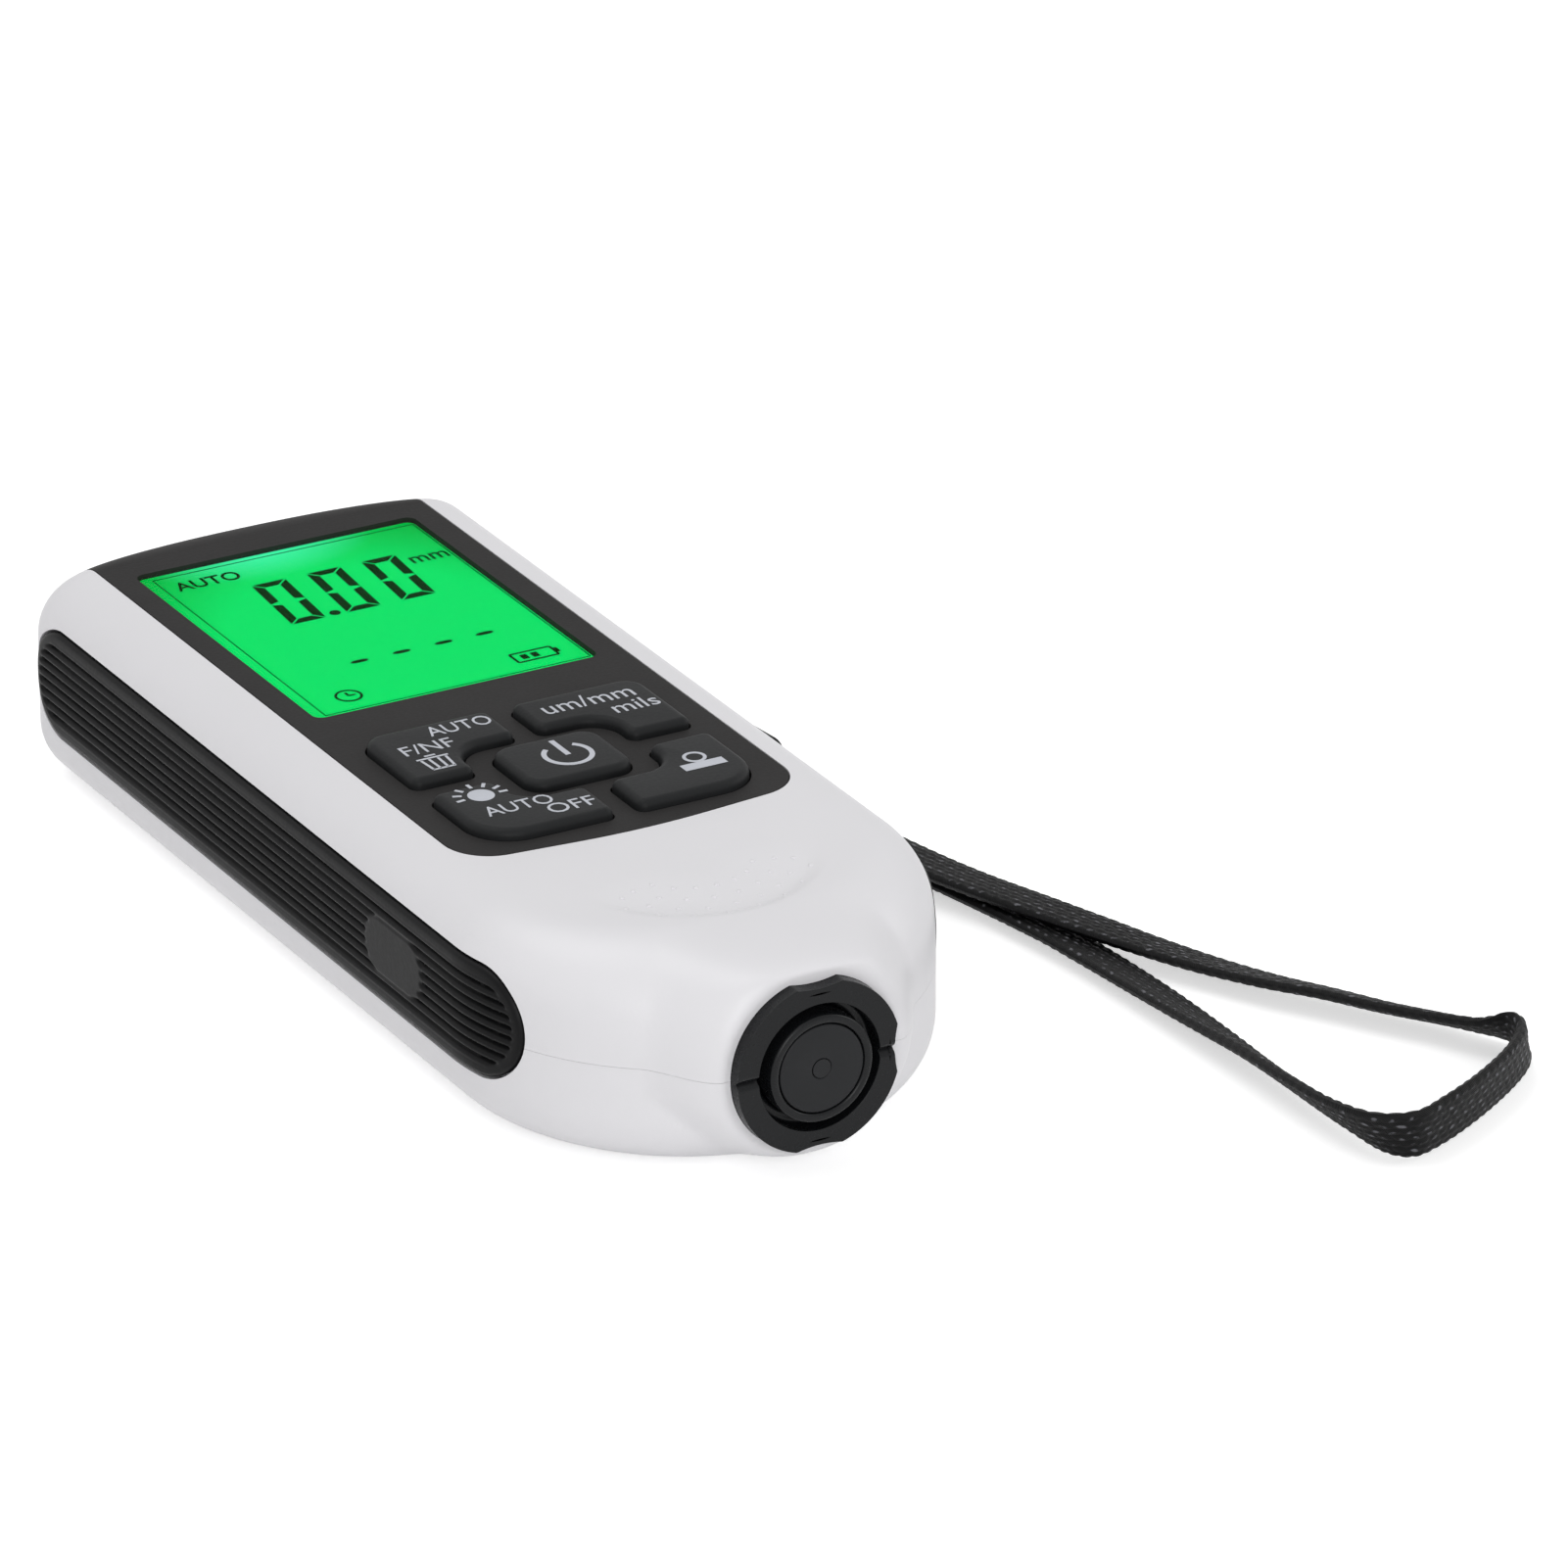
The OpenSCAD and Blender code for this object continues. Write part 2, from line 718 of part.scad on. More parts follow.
key_edge_steps = 4;
function key_ring(k, inset, z) = [for (p = rounded(key_corners(k), -inset)) [p[0], p[1], z]];
module key_cap(k) {
    top = body_h + key_proud;
    color(key_grey) {
        stack(concat(
            [key_ring(k, 0, mat_under)],
            [for (i = [0:key_edge_steps]) let (a = 90 * i / key_edge_steps)
                key_ring(k, key_edge_r * (1 - cos(a)), top - key_edge_r * (1 - sin(a)))]));
        translate([key_site(k)[0], key_site(k)[1], pill_under])
            cylinder(r = pill_r, h = pill_h + eps);
    }
}
module key_power() { key_cap(0); }
module key_mode() { key_cap(1); }
module key_units() { key_cap(2); }
module key_light() { key_cap(3); }
module key_zero() { key_cap(4); }

// Ribbed rubber grip: grooves run along it, round a plain oval
groove_pitch = (grip_h - 2 * grip_rim) / groove_count;
groove_low = grip_z - grip_h / 2 + grip_rim + (groove_pitch - groove_w) / 2;
module side_grip(side) {
    color(rubber_black)
        difference() {
            intersection() {
                from_side(side, grip_reach)
                    grip_outline(0);
                skin_full(-grip_proud);
            }
            skin_full(grip_depth);
            difference() {
                from_side(side, grip_reach)
                    groove_lines();
                skin_full(groove_depth - grip_proud);
            }
        }
}
module groove_lines() {
    difference() {
        intersection() {
            grip_outline(-grip_rim);
            for (i = [0:groove_count - 1])
                translate([grip_near, groove_low + i * groove_pitch])
                    square([grip_far - grip_near, groove_w]);
        }
        oval_outline();
    }
}
module oval_outline() {
    y = grip_near + oval_from_end;
    translate([y - (oval_l - oval_h) / 2, grip_z - oval_h / 2])
        square([oval_l - oval_h, oval_h]);
    for (e = [-1, 1])
        translate([y + e * (oval_l - oval_h) / 2, grip_z])
            circle(oval_h / 2);
}
module side_grip_left() { side_grip(-1); }
module side_grip_right() { side_grip(1); }

// Collar: a turned ring with notches in its rim and two cross grooves in its face
module turned(profile) {
    translate([0, 0, probe_z])
        rotate([-90, 0, 0])
            rotate_extrude($fn = 96)
                polygon(profile);
}
module probe_collar() {
    bore = sleeve_r + sleeve_clear;
    y0 = y_collar;
    y1 = y_collar + collar_head;
    y2 = y_collar + collar_tube_l;
    color(probe_black)
        difference() {
            turned([[moat_r, y0], [collar_r - collar_chamfer, y0], [collar_r, y0 + collar_chamfer],
                [collar_r, y1], [collar_tube_r, y1], [collar_tube_r, y2], [bore, y2],
                [bore, y0 + moat_depth], [moat_r, y0 + moat_depth]]);
            for (a = [0:90:180])
                translate([0, 0, probe_z])
                    rotate([0, a, 0])
                        bar_y(scallop_r, y0 - over, seat_y, z = collar_r - scallop_depth + scallop_r);
            translate([-collar_r - over, y0, probe_z])
                rotate([45, 0, 0])
                    translate([0, -vee_w / 2, -vee_w / 2])
                        cube([2 * (collar_r + over), vee_w, vee_w]);
        }
}

// Moving sleeve with a flange that stops against the collar's tube
sleeve_bore = tip_r + tip_gap;
sleeve_chamfer = 0.4;
module probe_sleeve() {
    color(probe_black)
        turned([[sleeve_bore, y_sleeve], [sleeve_r - sleeve_chamfer, y_sleeve],
            [sleeve_r, y_sleeve + sleeve_chamfer], [sleeve_r, flange_y], [flange_r, flange_y], [flange_r, flange_y + flange_t],
            [sleeve_bore, flange_y + flange_t]]);
}
tip_t = 1.6;
tip_sink = 0.1;
module probe_tip() {
    y = y_sleeve + tip_sink;
    hole = pole_r + tip_gap / 2;
    color(probe_black)
        turned([[hole, y], [tip_r, y], [tip_r, y + tip_t], [hole, y + tip_t]]);
}
core_r = 1.5;
coil_l = 9;
coil_lip = 0.8;
module probe_pole() {
    y = y_sleeve + tip_sink;
    color("#2B2C2F")
        turned([[0, y], [pole_r, y], [pole_r, y + tip_t + eps], [core_r, y + tip_t + eps],
            [core_r, y + tip_t + coil_l], [0, y + tip_t + coil_l]]);
}
module probe_coil() {
    y = y_sleeve + tip_sink + tip_t + eps;
    winding_r = tip_r - coil_lip;
    color("#B0703A")
        turned([[core_r + eps, y], [tip_r, y], [tip_r, y + coil_lip], [winding_r, y + coil_lip],
            [winding_r, y + coil_l - 2 * coil_lip], [tip_r, y + coil_l - 2 * coil_lip],
            [tip_r, y + coil_l - coil_lip], [core_r + eps, y + coil_l - coil_lip]]);
}

// Spring wound round an axis along Y, as one swept tube
spring_sides = 6;
spring_turn_steps = 12;
module coil_spring(r, y0, y1, turns, x, z) {
    steps = turns * spring_turn_steps;
    w = wire_d / 2;
    stack([for (i = [0:steps])
        let (a = 360 * i / spring_turn_steps, y = y0 + w + (y1 - y0 - 2 * w) * i / steps)
        [for (s = [0:spring_sides - 1]) let (b = 360 * s / spring_sides)
            [x + (r + w * cos(b)) * cos(a), y + w * sin(b), z - (r + w * cos(b)) * sin(a)]]]);
}
spring_in = 0.3;
module probe_spring() {
    color(steel_grey)
        coil_spring(sleeve_r - spring_in, spring_y, spring_y + probe_spring_l, 4, 0, probe_z);
}

// Guide cup behind the collar, closed at the rear, in which the flange and the spring run
module probe_guide() {
    floor_y = guide_far - guide_wall;
    color("#3A3B3E")
        turned([[guide_r, guide_near], [guide_r + guide_wall, guide_near],
            [guide_r + guide_wall, guide_far], [0, guide_far], [0, floor_y], [guide_r, floor_y]]);
}

// Battery door with a thumb notch at its near end
thumb_r = 5;
thumb_from_end = 5;
thumb_depth = 0.6;
module battery_door() {
    color(white_abs)
        difference() {
            prism(door_corners, 0, door_sink, door_sink + door_t);
            translate([0, bay_near + thumb_from_end, door_sink - thumb_r + thumb_depth])
                sphere(thumb_r);
        }
}

// Cells, each turned end for end, with their button ends
cell_near = bay_near + contact_t;
cell_far = bay_far - contact_t;
module cell(x, flip) {
    y0 = cell_near + (flip ? cell_button_l : cell_spring_l);
    by = flip ? y0 - cell_button_l : y0 + cell_l;
    bar_y(cell_d / 2, y0, y0 + cell_l, x, cell_z);
    bar_y(cell_button_d / 2, by, by + cell_button_l, x, cell_z);
}
module battery_left() { color("#3F6FA8") cell(-cell_x, false); }
module battery_right() { color("#3F6FA8") cell(cell_x, true); }

contact_w = 8;
module battery_contacts() {
    color(steel_grey)
        for (x = [-cell_x, cell_x], y = [bay_near, bay_far - contact_t])
            translate([x - contact_w / 2, y, cell_z - contact_w / 2])
                cube([contact_w, contact_t, contact_w]);
}
module battery_springs() {
    color(steel_grey) {
        coil_spring(cell_spring_r, cell_near, cell_near + cell_spring_l, 3, -cell_x, cell_z);
        coil_spring(cell_spring_r, cell_far - cell_spring_l, cell_far, 3, cell_x, cell_z);
    }
}

// Four screws with pan heads and cross slots
screw_head_t = 1.4;
screw_slot_w = 0.5;
screw_slot_depth = 0.7;
screw_end_gap = 0.5;
screw_fit = 0.05;
screw_end = split + pilot_depth - screw_end_gap;
module case_screws() {
    color(steel_grey)
        at_screws()
            difference() {
                union() {
                    translate([0, 0, screw_sink - screw_head_t])
                        cylinder(d = screw_head_d, h = screw_head_t);
                    translate([0, 0, screw_sink - eps])
                        cylinder(d = screw_d - screw_bite - screw_fit, h = screw_end - screw_sink);
                }
                for (a = [0, 90])
                    rotate([0, 0, a])
                        translate([-screw_d / 2, -screw_slot_w / 2, screw_sink - screw_head_t - over])
                            cube([screw_d, screw_slot_w, over + screw_slot_depth]);
            }
}

// Wrist strap: a flat tape from the eyelet through the bead, round a loop with half a twist and back.
// Each point of its route is [x, y, z, roll in degrees]
strap_route = [
    [22.2, 47.4, 2.2, 0], [27.2, 45.8, 1.3, 0], [29.8, 41, 0.8, 0], [31.2, 32, 0.8, 0],
    [32.2, 17.3, 1.5, 0], [34.2, 6, 1, 0], [36.6, -4, 1, 5], [38.9, -13, 1.2, 10],
    [41.4, -27.6, 1.4, 14], [42.3, -35, 1.4, 15], [42.8, -44.4, 1.6, 19], [43, -54, 1.9, 28],
    [43, -61, 2.2, 38], [43, -69, 2.4, 44], [43.2, -75.4, 2.6, 50], [44, -80, 2.8, 61],
    [46.6, -82, 2.8, 75], [50.2, -81, 2.8, 80], [55.2, -78.6, 2.8, 80], [60.4, -75.4, 2.8, 82],
    [64, -72.4, 2.8, 90], [65.4, -69.9, 2.8, 110], [65, -67.4, 2.5, 140], [63.7, -64.9, 2.2, 149],
    [61.8, -61.2, 1.9, 153], [59.2, -57.2, 1.8, 154], [56.2, -52.2, 1.8, 156], [53.1, -47.3, 1.7, 160],
    [50.2, -41.6, 1.6, 164], [47.4, -36, 1.8, 167], [44.5, -30.6, 2.3, 170], [41.7, -24.8, 2.7, 171],
    [38.8, -17, 2.8, 171], [36.6, -9, 2.8, 173], [33.8, 4, 2.8, 177], [32.2, 17.3, 3.1, 180],
    [31.6, 26, 2.8, 180], [30.4, 40, 2.9, 180], [27.2, 46, 3.6, 180], [22.2, 47.4, 4.2, 180]];
function site(i) = [strap_route[i][0], strap_route[i][1], strap_route[i][2]];
function along(i) = unit(site(min(i + 1, len(strap_route) - 1)) - site(max(i - 1, 0)));
tape_sides = [[1, 0.2], [0.8, 1], [-0.8, 1], [-1, 0.2], [-1, -0.2], [-0.8, -1], [0.8, -1], [1, -0.2]];
function tape_ring(i) =
    let (t = along(i), roll = strap_route[i][3])
    let (flat = unit([t[1], -t[0], 0]))
    let (upright = cross(flat, t))
    let (side = flat * cos(roll) + upright * sin(roll))
    let (up = upright * cos(roll) - flat * sin(roll))
    [for (c = tape_sides) site(i) + side * c[0] * strap_w / 2 + up * c[1] * strap_t / 2];
module wrist_strap() {
    color(rubber_black)
        stack([for (i = [0:len(strap_route) - 1]) tape_ring(i)]);
}

// Bead that holds the two runs of the strap together
bead_site = [32.2, 17.3, 0];
bead_turn = 6;
bead_floor = 0.7;
bead_clear = 0.4;
bead_slot_w = strap_w + 2 * bead_clear;
bead_slot_h = 2 * strap_t + 2.5 * bead_clear;
module strap_bead() {
    color(rubber_black)
        translate(bead_site)
            rotate([90, 0, bead_turn])
                translate([0, 0, -bead_l / 2])
                    linear_extrude(bead_l)
                        difference() {
                            bead_outline();
                            translate([-bead_slot_w / 2, bead_floor])
                                square([bead_slot_w, bead_slot_h]);
                        }
}
module bead_outline() {
    flat = bead_w - bead_h;
    translate([-flat / 2, 0])
        square([flat, bead_h]);
    for (side = [-1, 1])
        translate([side * flat / 2, bead_h / 2])
            circle(bead_h / 2);
}

front_shell();
rear_shell();
face_panel();
display_lens();
lcd_glass();
backlight();
circuit_board();
controller_chip();
buzzer();
contact_pads();
keypad_mat();
key_power();
key_mode();
key_units();
key_light();
key_zero();
side_grip_left();
side_grip_right();
probe_collar();
probe_sleeve();
probe_tip();
probe_pole();
probe_coil();
probe_spring();
probe_guide();
battery_door();
battery_left();
battery_right();
battery_contacts();
battery_springs();
case_screws();
wrist_strap();
strap_bead();
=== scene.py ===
"""Coating thickness gauge on a pale table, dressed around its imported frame.

Sizes are in millimetres in the frame's axes: +X right of the face, +Y to the display end, +Z out of the face.
"""
from math import acos, atan2, copysign, cos, degrees, hypot, pi, radians, sin, sqrt

import bmesh
import bpy
import numpy as np
from mathutils import Matrix, Vector
from numpy.linalg import norm


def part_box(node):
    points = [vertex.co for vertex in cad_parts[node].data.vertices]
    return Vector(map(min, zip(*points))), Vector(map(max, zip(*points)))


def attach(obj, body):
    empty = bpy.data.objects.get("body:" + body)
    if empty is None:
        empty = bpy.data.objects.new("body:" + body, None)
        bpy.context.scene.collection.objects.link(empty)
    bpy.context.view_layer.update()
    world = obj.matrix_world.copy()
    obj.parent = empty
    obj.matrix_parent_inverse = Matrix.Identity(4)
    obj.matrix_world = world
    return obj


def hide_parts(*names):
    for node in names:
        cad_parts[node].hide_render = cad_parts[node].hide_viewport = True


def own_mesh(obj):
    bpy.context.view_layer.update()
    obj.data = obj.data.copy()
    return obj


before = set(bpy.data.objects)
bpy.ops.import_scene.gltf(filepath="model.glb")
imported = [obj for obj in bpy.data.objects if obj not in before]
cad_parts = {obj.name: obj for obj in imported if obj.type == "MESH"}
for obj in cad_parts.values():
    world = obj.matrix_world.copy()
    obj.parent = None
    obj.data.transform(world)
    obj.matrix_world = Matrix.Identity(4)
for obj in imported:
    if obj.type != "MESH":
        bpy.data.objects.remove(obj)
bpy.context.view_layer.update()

MM = 0.001


def low(node):
    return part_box(node)[0] / MM


def high(node):
    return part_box(node)[1] / MM


# Case
BODY_W, BODY_H, BODY_LEN = 46.0, 20.6, 114.0
HALF_W = BODY_W / 2
Y_FAR = high("rear_shell").y
Y_NOSE = Y_FAR - BODY_LEN
NOSE_CY = Y_NOSE + HALF_W
FAR_DEPTH, FAR_POWER = 9.0, 2.3
FAR_CY = Y_FAR - FAR_DEPTH
SIDE_TOP_R, SIDE_BACK_R = 5.8, 5.6
NOSE_TOP_R, NOSE_BACK_R = 9.4, 4.8
FAR_TOP_R, FAR_BACK_R = 8.0, 6.4
WALL = 2.4
SPLIT = BODY_H / 2
SEAM = 0.03

# Thumb dish in front of the keys: it slopes down from the panel to a round wall at its near edge
DISH_Y, DISH_R = Y_NOSE + 22.3, 12.9
DISH_DEPTH, DISH_WALL, DISH_START = 0.55, 1.9, 3.0
# Angles from the middle line over which its wall comes up, and depth under the face over which it fades in
DISH_SWEEP = 80.0, 36.0
DISH_UNDER, DISH_FADE = 3.0, 2.5

# Probe
PROBE_Z = BODY_H / 2
Y_COLLAR = low("probe_collar").y
COLLAR_R, COLLAR_HEAD = 8.2, 4.2
MOAT_R, MOAT_DEPTH = 6.1, 2.0
COLLAR_TUBE_R = MOAT_R + 1.0
SLEEVE_R = 5.15
Y_SLEEVE = low("probe_sleeve").y
TIP_R = 4.2
SEAT_Y = Y_NOSE - 1.25
SEAT_R, SEAT_REACH = 8.7, 16.0
# Flare, blend and fade of the seat above the probe's axis and at its lowest
SEAT_TOP = (0.36, 4.0, 4.0, 9.0)
SEAT_BACK = (1.0, 3.0, 1.0, 4.0)
# Depth under the axis, in shares of the seat's radius, over which the one turns into the other
SEAT_TURN = 0.2, 1.1

# Face
PANEL_W = 34.6
PANEL_T = 1.4
PANEL_LOW = low("face_panel").y
PANEL_BOW, PANEL_BOW_R, PANEL_CORNER_R = 1.7, 70.0, 4.5
PANEL_DROP = 7.0
PANEL_GAP = 0.12
WINDOW_Y = (low("display_lens").y + high("display_lens").y) / 2
WINDOW_W, WINDOW_L, WINDOW_R = 29.5, 37.6, 1.0
LCD_TOP = high("lcd_glass").z - 0.06
KEYS_Y = (low("key_power").y + high("key_power").y) / 2
KEY_TOP = high("key_power").z


# Colours

def linear(hex_colour):
    """sRGB hex to linear RGBA."""
    parts = [int(hex_colour[i:i + 2], 16) / 255 for i in (1, 3, 5)]
    return tuple(c / 12.92 if c <= 0.04045 else ((c + 0.055) / 1.055) ** 2.4 for c in parts) + (1.0,)


# Materials

def put(tree, kind, values=None, links=None, **settings):
    """Adds one node with its settings, socket values and incoming links."""
    node = tree.nodes.new(kind)
    for name, value in settings.items():
        setattr(node, name, value)
    for name, value in (values or {}).items():
        node.inputs[name].default_value = value
    for name, source in (links or {}).items():
        tree.links.new(source, node.inputs[name])
    return node


def blank(name):
    material = bpy.data.materials.new(name)
    material.use_nodes = True
    material.node_tree.nodes.clear()
    return material, material.node_tree


def principled(tree, values, links):
    """The shader of a material, wired to its surface."""
    shader = put(tree, "ShaderNodeBsdfPrincipled", values, links)
    put(tree, "ShaderNodeOutputMaterial", links={"Surface": shader.outputs["BSDF"]})


def noise(tree, size_mm, detail):
    """Noise that is fixed to the object."""
    where = put(tree, "ShaderNodeTexCoord").outputs["Object"]
    return put(tree, "ShaderNodeTexNoise", {"Scale": 1 / (size_mm * MM), "Detail": detail},
               {"Vector": where}).outputs["Fac"]


def bumps(tree, strength, depth_mm, height):
    return put(tree, "ShaderNodeBump", {"Strength": strength, "Distance": depth_mm * MM},
               {"Height": height}).outputs["Normal"]


def ramp(tree, factor, *stops):
    """Colours between two stops, each a position and a colour."""
    node = put(tree, "ShaderNodeValToRGB", links={"Fac": factor})
    for stop, (position, colour) in zip(node.color_ramp.elements, stops):
        stop.position, stop.color = position, colour
    return node.outputs["Color"]


# How far the grain moves a finish's roughness either way
GLOSS_DRIFT = 0.05


def finish_surface(name, colour, roughness, grain_mm, grain_depth_mm, mottle=0.06, mottle_mm=9.0, metal=0.0,
                   gleam=0.5):
    """A plain opaque finish: a colour that drifts a little, and a fine grain that breaks up its gloss."""
    material, tree = blank(name)
    dark, pale = (tuple(min(1.0, c * level) for c in linear(colour)[:3]) + (1.0,)
                  for level in (1 - mottle, 1 + mottle))
    tint = ramp(tree, noise(tree, mottle_mm, 3.0), (0.3, dark), (0.7, pale))
    grain = noise(tree, grain_mm, 2.0)
    gloss = put(tree, "ShaderNodeMapRange", {"To Min": roughness - GLOSS_DRIFT, "To Max": roughness + GLOSS_DRIFT},
                {"Value": grain})
    principled(tree, {"Metallic": metal, "Specular IOR Level": gleam},
               {"Base Color": tint, "Roughness": gloss.outputs["Result"],
                "Normal": bumps(tree, 0.6, grain_depth_mm, grain)})
    return material


# Moulded ABS from a lightly eroded tool: white with a soft sheen and a barely visible grain
abs_white = finish_surface("ABS_moulded_white", "#E3E2E5", 0.42, 0.5, 0.02, mottle=0.012, mottle_mm=25)
# Polycarbonate film with a matt textured face: dark grey, no clear reflection
panel_film = finish_surface("polycarbonate_matt_grey", "#2B2A2A", 0.62, 0.35, 0.03, mottle_mm=6, gleam=0.1)
# Silicone rubber keys: slightly darker than the panel, with a soft broad sheen
silicone = finish_surface("silicone_rubber_grey", "#1E1F20", 0.52, 0.4, 0.025, mottle_mm=5, gleam=0.13)
# Thermoplastic rubber grips: near black, satin on the ribs
grip_rubber = finish_surface("TPE_rubber_black", "#121213", 0.42, 0.45, 0.02, mottle=0.08, mottle_mm=6, gleam=0.1)
# Turned and moulded acetal: deep black with a smooth semi-gloss skin
acetal = finish_surface("acetal_black", "#121315", 0.28, 0.6, 0.008, mottle_mm=8, gleam=0.2)
# Filled nylon of the sensing face: black with a dull skin
filled_nylon = finish_surface("nylon_filled_black", "#1B1C1E", 0.45, 0.4, 0.012, mottle=0.08, mottle_mm=5, gleam=0.2)
# Light grey pad-printed ink on the keys
key_ink = finish_surface("pad_print_ink_grey", "#C3C6CE", 0.6, 0.3, 0.01, mottle=0.04, mottle_mm=3)
# Liquid crystal segments: dark green where they block the light, paler in the lines that block less of it
segment_ink = finish_surface("liquid_crystal_dark", "#06330C", 0.5, 0.4, 0.004, mottle=0.1, mottle_mm=4, gleam=0.0)
segment_pale = finish_surface("liquid_crystal_faint", "#044A1E", 0.5, 0.4, 0.004, mottle=0.1, mottle_mm=4, gleam=0.0)
# Glass-fibre board under green solder mask
solder_mask = finish_surface("FR4_solder_mask_green", "#1F5A34", 0.4, 0.6, 0.02, mottle=0.15, mottle_mm=3)
# Black epoxy and nylon of the small inner parts
epoxy_black = finish_surface("epoxy_moulded_black", "#18191B", 0.5, 0.4, 0.015, mottle=0.08, mottle_mm=4, gleam=0.2)
# Nickel-plated steel of springs, plates and screws
nickel_steel = finish_surface("steel_nickel_plated", "#B8BBC0", 0.28, 0.3, 0.006, mottle_mm=2, metal=1.0)
# Gold flash over copper on the contact pads
gold_flash = finish_surface("gold_flash_plating", "#C9A24A", 0.25, 0.3, 0.004, mottle=0.08, mottle_mm=2, metal=1.0)
# Enamelled copper wire of the probe's coil
copper_wire = finish_surface("copper_enamelled", "#A8642F", 0.3, 0.25, 0.02, mottle=0.15, mottle_mm=1, metal=1.0)
# Blackened soft-iron pole of the probe
iron_core = finish_surface("iron_blackened", "#1D1E20", 0.4, 0.3, 0.004, mottle=0.08, mottle_mm=2, gleam=0.2)
# White light guide behind the display
light_guide = finish_surface("acrylic_diffuser_white", "#E6EEE9", 0.45, 0.5, 0.01, mottle=0.03, mottle_mm=8)
# Printed steel jacket of the cells
cell_jacket = finish_surface("cell_jacket_blue", "#3F6FA8", 0.35, 0.5, 0.004, mottle_mm=12, metal=0.4)


# Share of the light that the clear lens keeps back
LENS_ALPHA = 0.05


def clear_acrylic():
    """Thin acrylic with a glare-free face: clear, with a faint gloss and very faint handling haze."""
    material, tree = blank("acrylic_clear")
    gloss = put(tree, "ShaderNodeMapRange", {"To Min": 0.12, "To Max": 0.2}, {"Value": noise(tree, 4.0, 4.0)})
    principled(tree, {"Base Color": linear("#0A0C0B"), "IOR": 1.49, "Specular IOR Level": 0.3, "Alpha": LENS_ALPHA},
               {"Roughness": gloss.outputs["Result"]})
    return material


# Light of the display, as ovals on the face: a bright spot under the lamp at the far edge, and the even field that
# darkens to the far corners
LAMP_AT, LAMP_SPREAD = (-1.5, WINDOW_Y + 20.0), (12.0, 7.0)
FIELD_AT, FIELD_SPREAD = (0.0, WINDOW_Y - 6.0), (25.0, 33.0)
DISPLAY_LIGHT = 1.05


def oval(tree, centre, spread):
    """1 in the middle of an oval on the face and 0 at its edge."""
    where = put(tree, "ShaderNodeTexCoord").outputs["Object"]
    place = put(tree, "ShaderNodeMapping",
                {"Location": (-centre[0] / spread[0], -centre[1] / spread[1], 0.0),
                 "Scale": (1 / (spread[0] * MM), 1 / (spread[1] * MM), 0.0)}, {"Vector": where})
    return put(tree, "ShaderNodeTexGradient", links={"Vector": place.outputs["Vector"]},
               gradient_type="SPHERICAL").outputs["Fac"]


def lit_display():
    """Backlit display glass: even green light, a pale spot beside the lamp and dimmer corners."""
    material, tree = blank("display_glass_green_lit")
    field = ramp(tree, oval(tree, FIELD_AT, FIELD_SPREAD), (0.04, linear("#00AE3A")), (0.42, linear("#00E268")))
    spot = ramp(tree, oval(tree, LAMP_AT, LAMP_SPREAD), (0.0, (0, 0, 0, 1)), (0.75, (0.05, 0.3, 0.3, 1)))
    light = put(tree, "ShaderNodeMix", {0: 1.0}, {6: field, 7: spot},
                data_type="RGBA", blend_type="ADD", clamp_result=True)
    principled(tree, {"Base Color": linear("#03300C"), "Roughness": 0.5, "Specular IOR Level": 0.0,
                      "Emission Strength": DISPLAY_LIGHT}, {"Emission Color": light.outputs[2]})
    return material


# Braid of the strap: columns of slanted yarns, in millimetres
STRAP_W, STRAP_T = 5.3, 1.2
BRAID_COLUMNS = 7
YARN_PITCH, YARN_LEAN, YARN_DEPTH = 1.3, 0.55, 0.16
# Powers that round the yarns across and along, and the thinner edge of the tape
YARN_ROUND = 0.6, 0.7
EDGE_SHARE, EDGE_POWER = 0.25, 5


def braided_nylon():
    """Flat braided nylon tape: black yarns in slanted columns, with painted highlights: pale glints on their crowns.
    """
    material, tree = blank("nylon_braid_black")
    place = put(tree, "ShaderNodeUVMap").outputs["UV"]
    crown = put(tree, "ShaderNodeAttribute", attribute_name="crown")
    glint_flecks = put(tree, "ShaderNodeTexNoise", {"Scale": 1.1, "Detail": 2.0}, {"Vector": place})
    fibre = put(tree, "ShaderNodeTexWave", {"Scale": 3.5, "Distortion": 2.0, "Detail": 2.0},
                {"Vector": place}, bands_direction="DIAGONAL")
    lift = put(tree, "ShaderNodeMath", links={0: crown.outputs["Fac"], 1: glint_flecks.outputs["Fac"]},
               operation="MULTIPLY")
    # Painted highlight: where the yarn crowns and the noise patches meet, the black is lifted to pale grey as glints
    shade = ramp(tree, lift.outputs["Value"], (0.4, linear("#060607")), (0.54, linear("#66666B")))
    principled(tree, {"Roughness": 0.5, "Specular IOR Level": 0.15},
               {"Base Color": shade, "Normal": bumps(tree, 0.5, 0.08, fibre.outputs["Fac"])})
    return material


# Mesh tools

def add_object(name, data):
    thing = bpy.data.objects.new(name, data)
    bpy.context.scene.collection.objects.link(thing)
    return thing


def paint(mesh, material):
    mesh.materials.clear()
    mesh.materials.append(material)


def mesh_piece(name, points, faces, material, merge=1e-4):
    """A piece from points in millimetres, with doubles merged and its faces turned outwards."""
    mesh = bpy.data.meshes.new(name)
    mesh.from_pydata([tuple(c * MM for c in p) for p in points], [], faces)
    tool = bmesh.new()
    tool.from_mesh(mesh)
    if merge:
        bmesh.ops.remove_doubles(tool, verts=tool.verts, dist=merge * MM)
        bmesh.ops.dissolve_degenerate(tool, edges=tool.edges, dist=merge * MM / 10)
    bmesh.ops.recalc_face_normals(tool, faces=tool.faces)
    tool.to_mesh(mesh)
    tool.free()
    paint(mesh, material)
    return add_object(name, mesh)


def smooth(piece, angle):
    piece.data.polygons.foreach_set("use_smooth", [True] * len(piece.data.polygons))
    piece.data.set_sharp_from_angle(angle=radians(angle))
    return piece


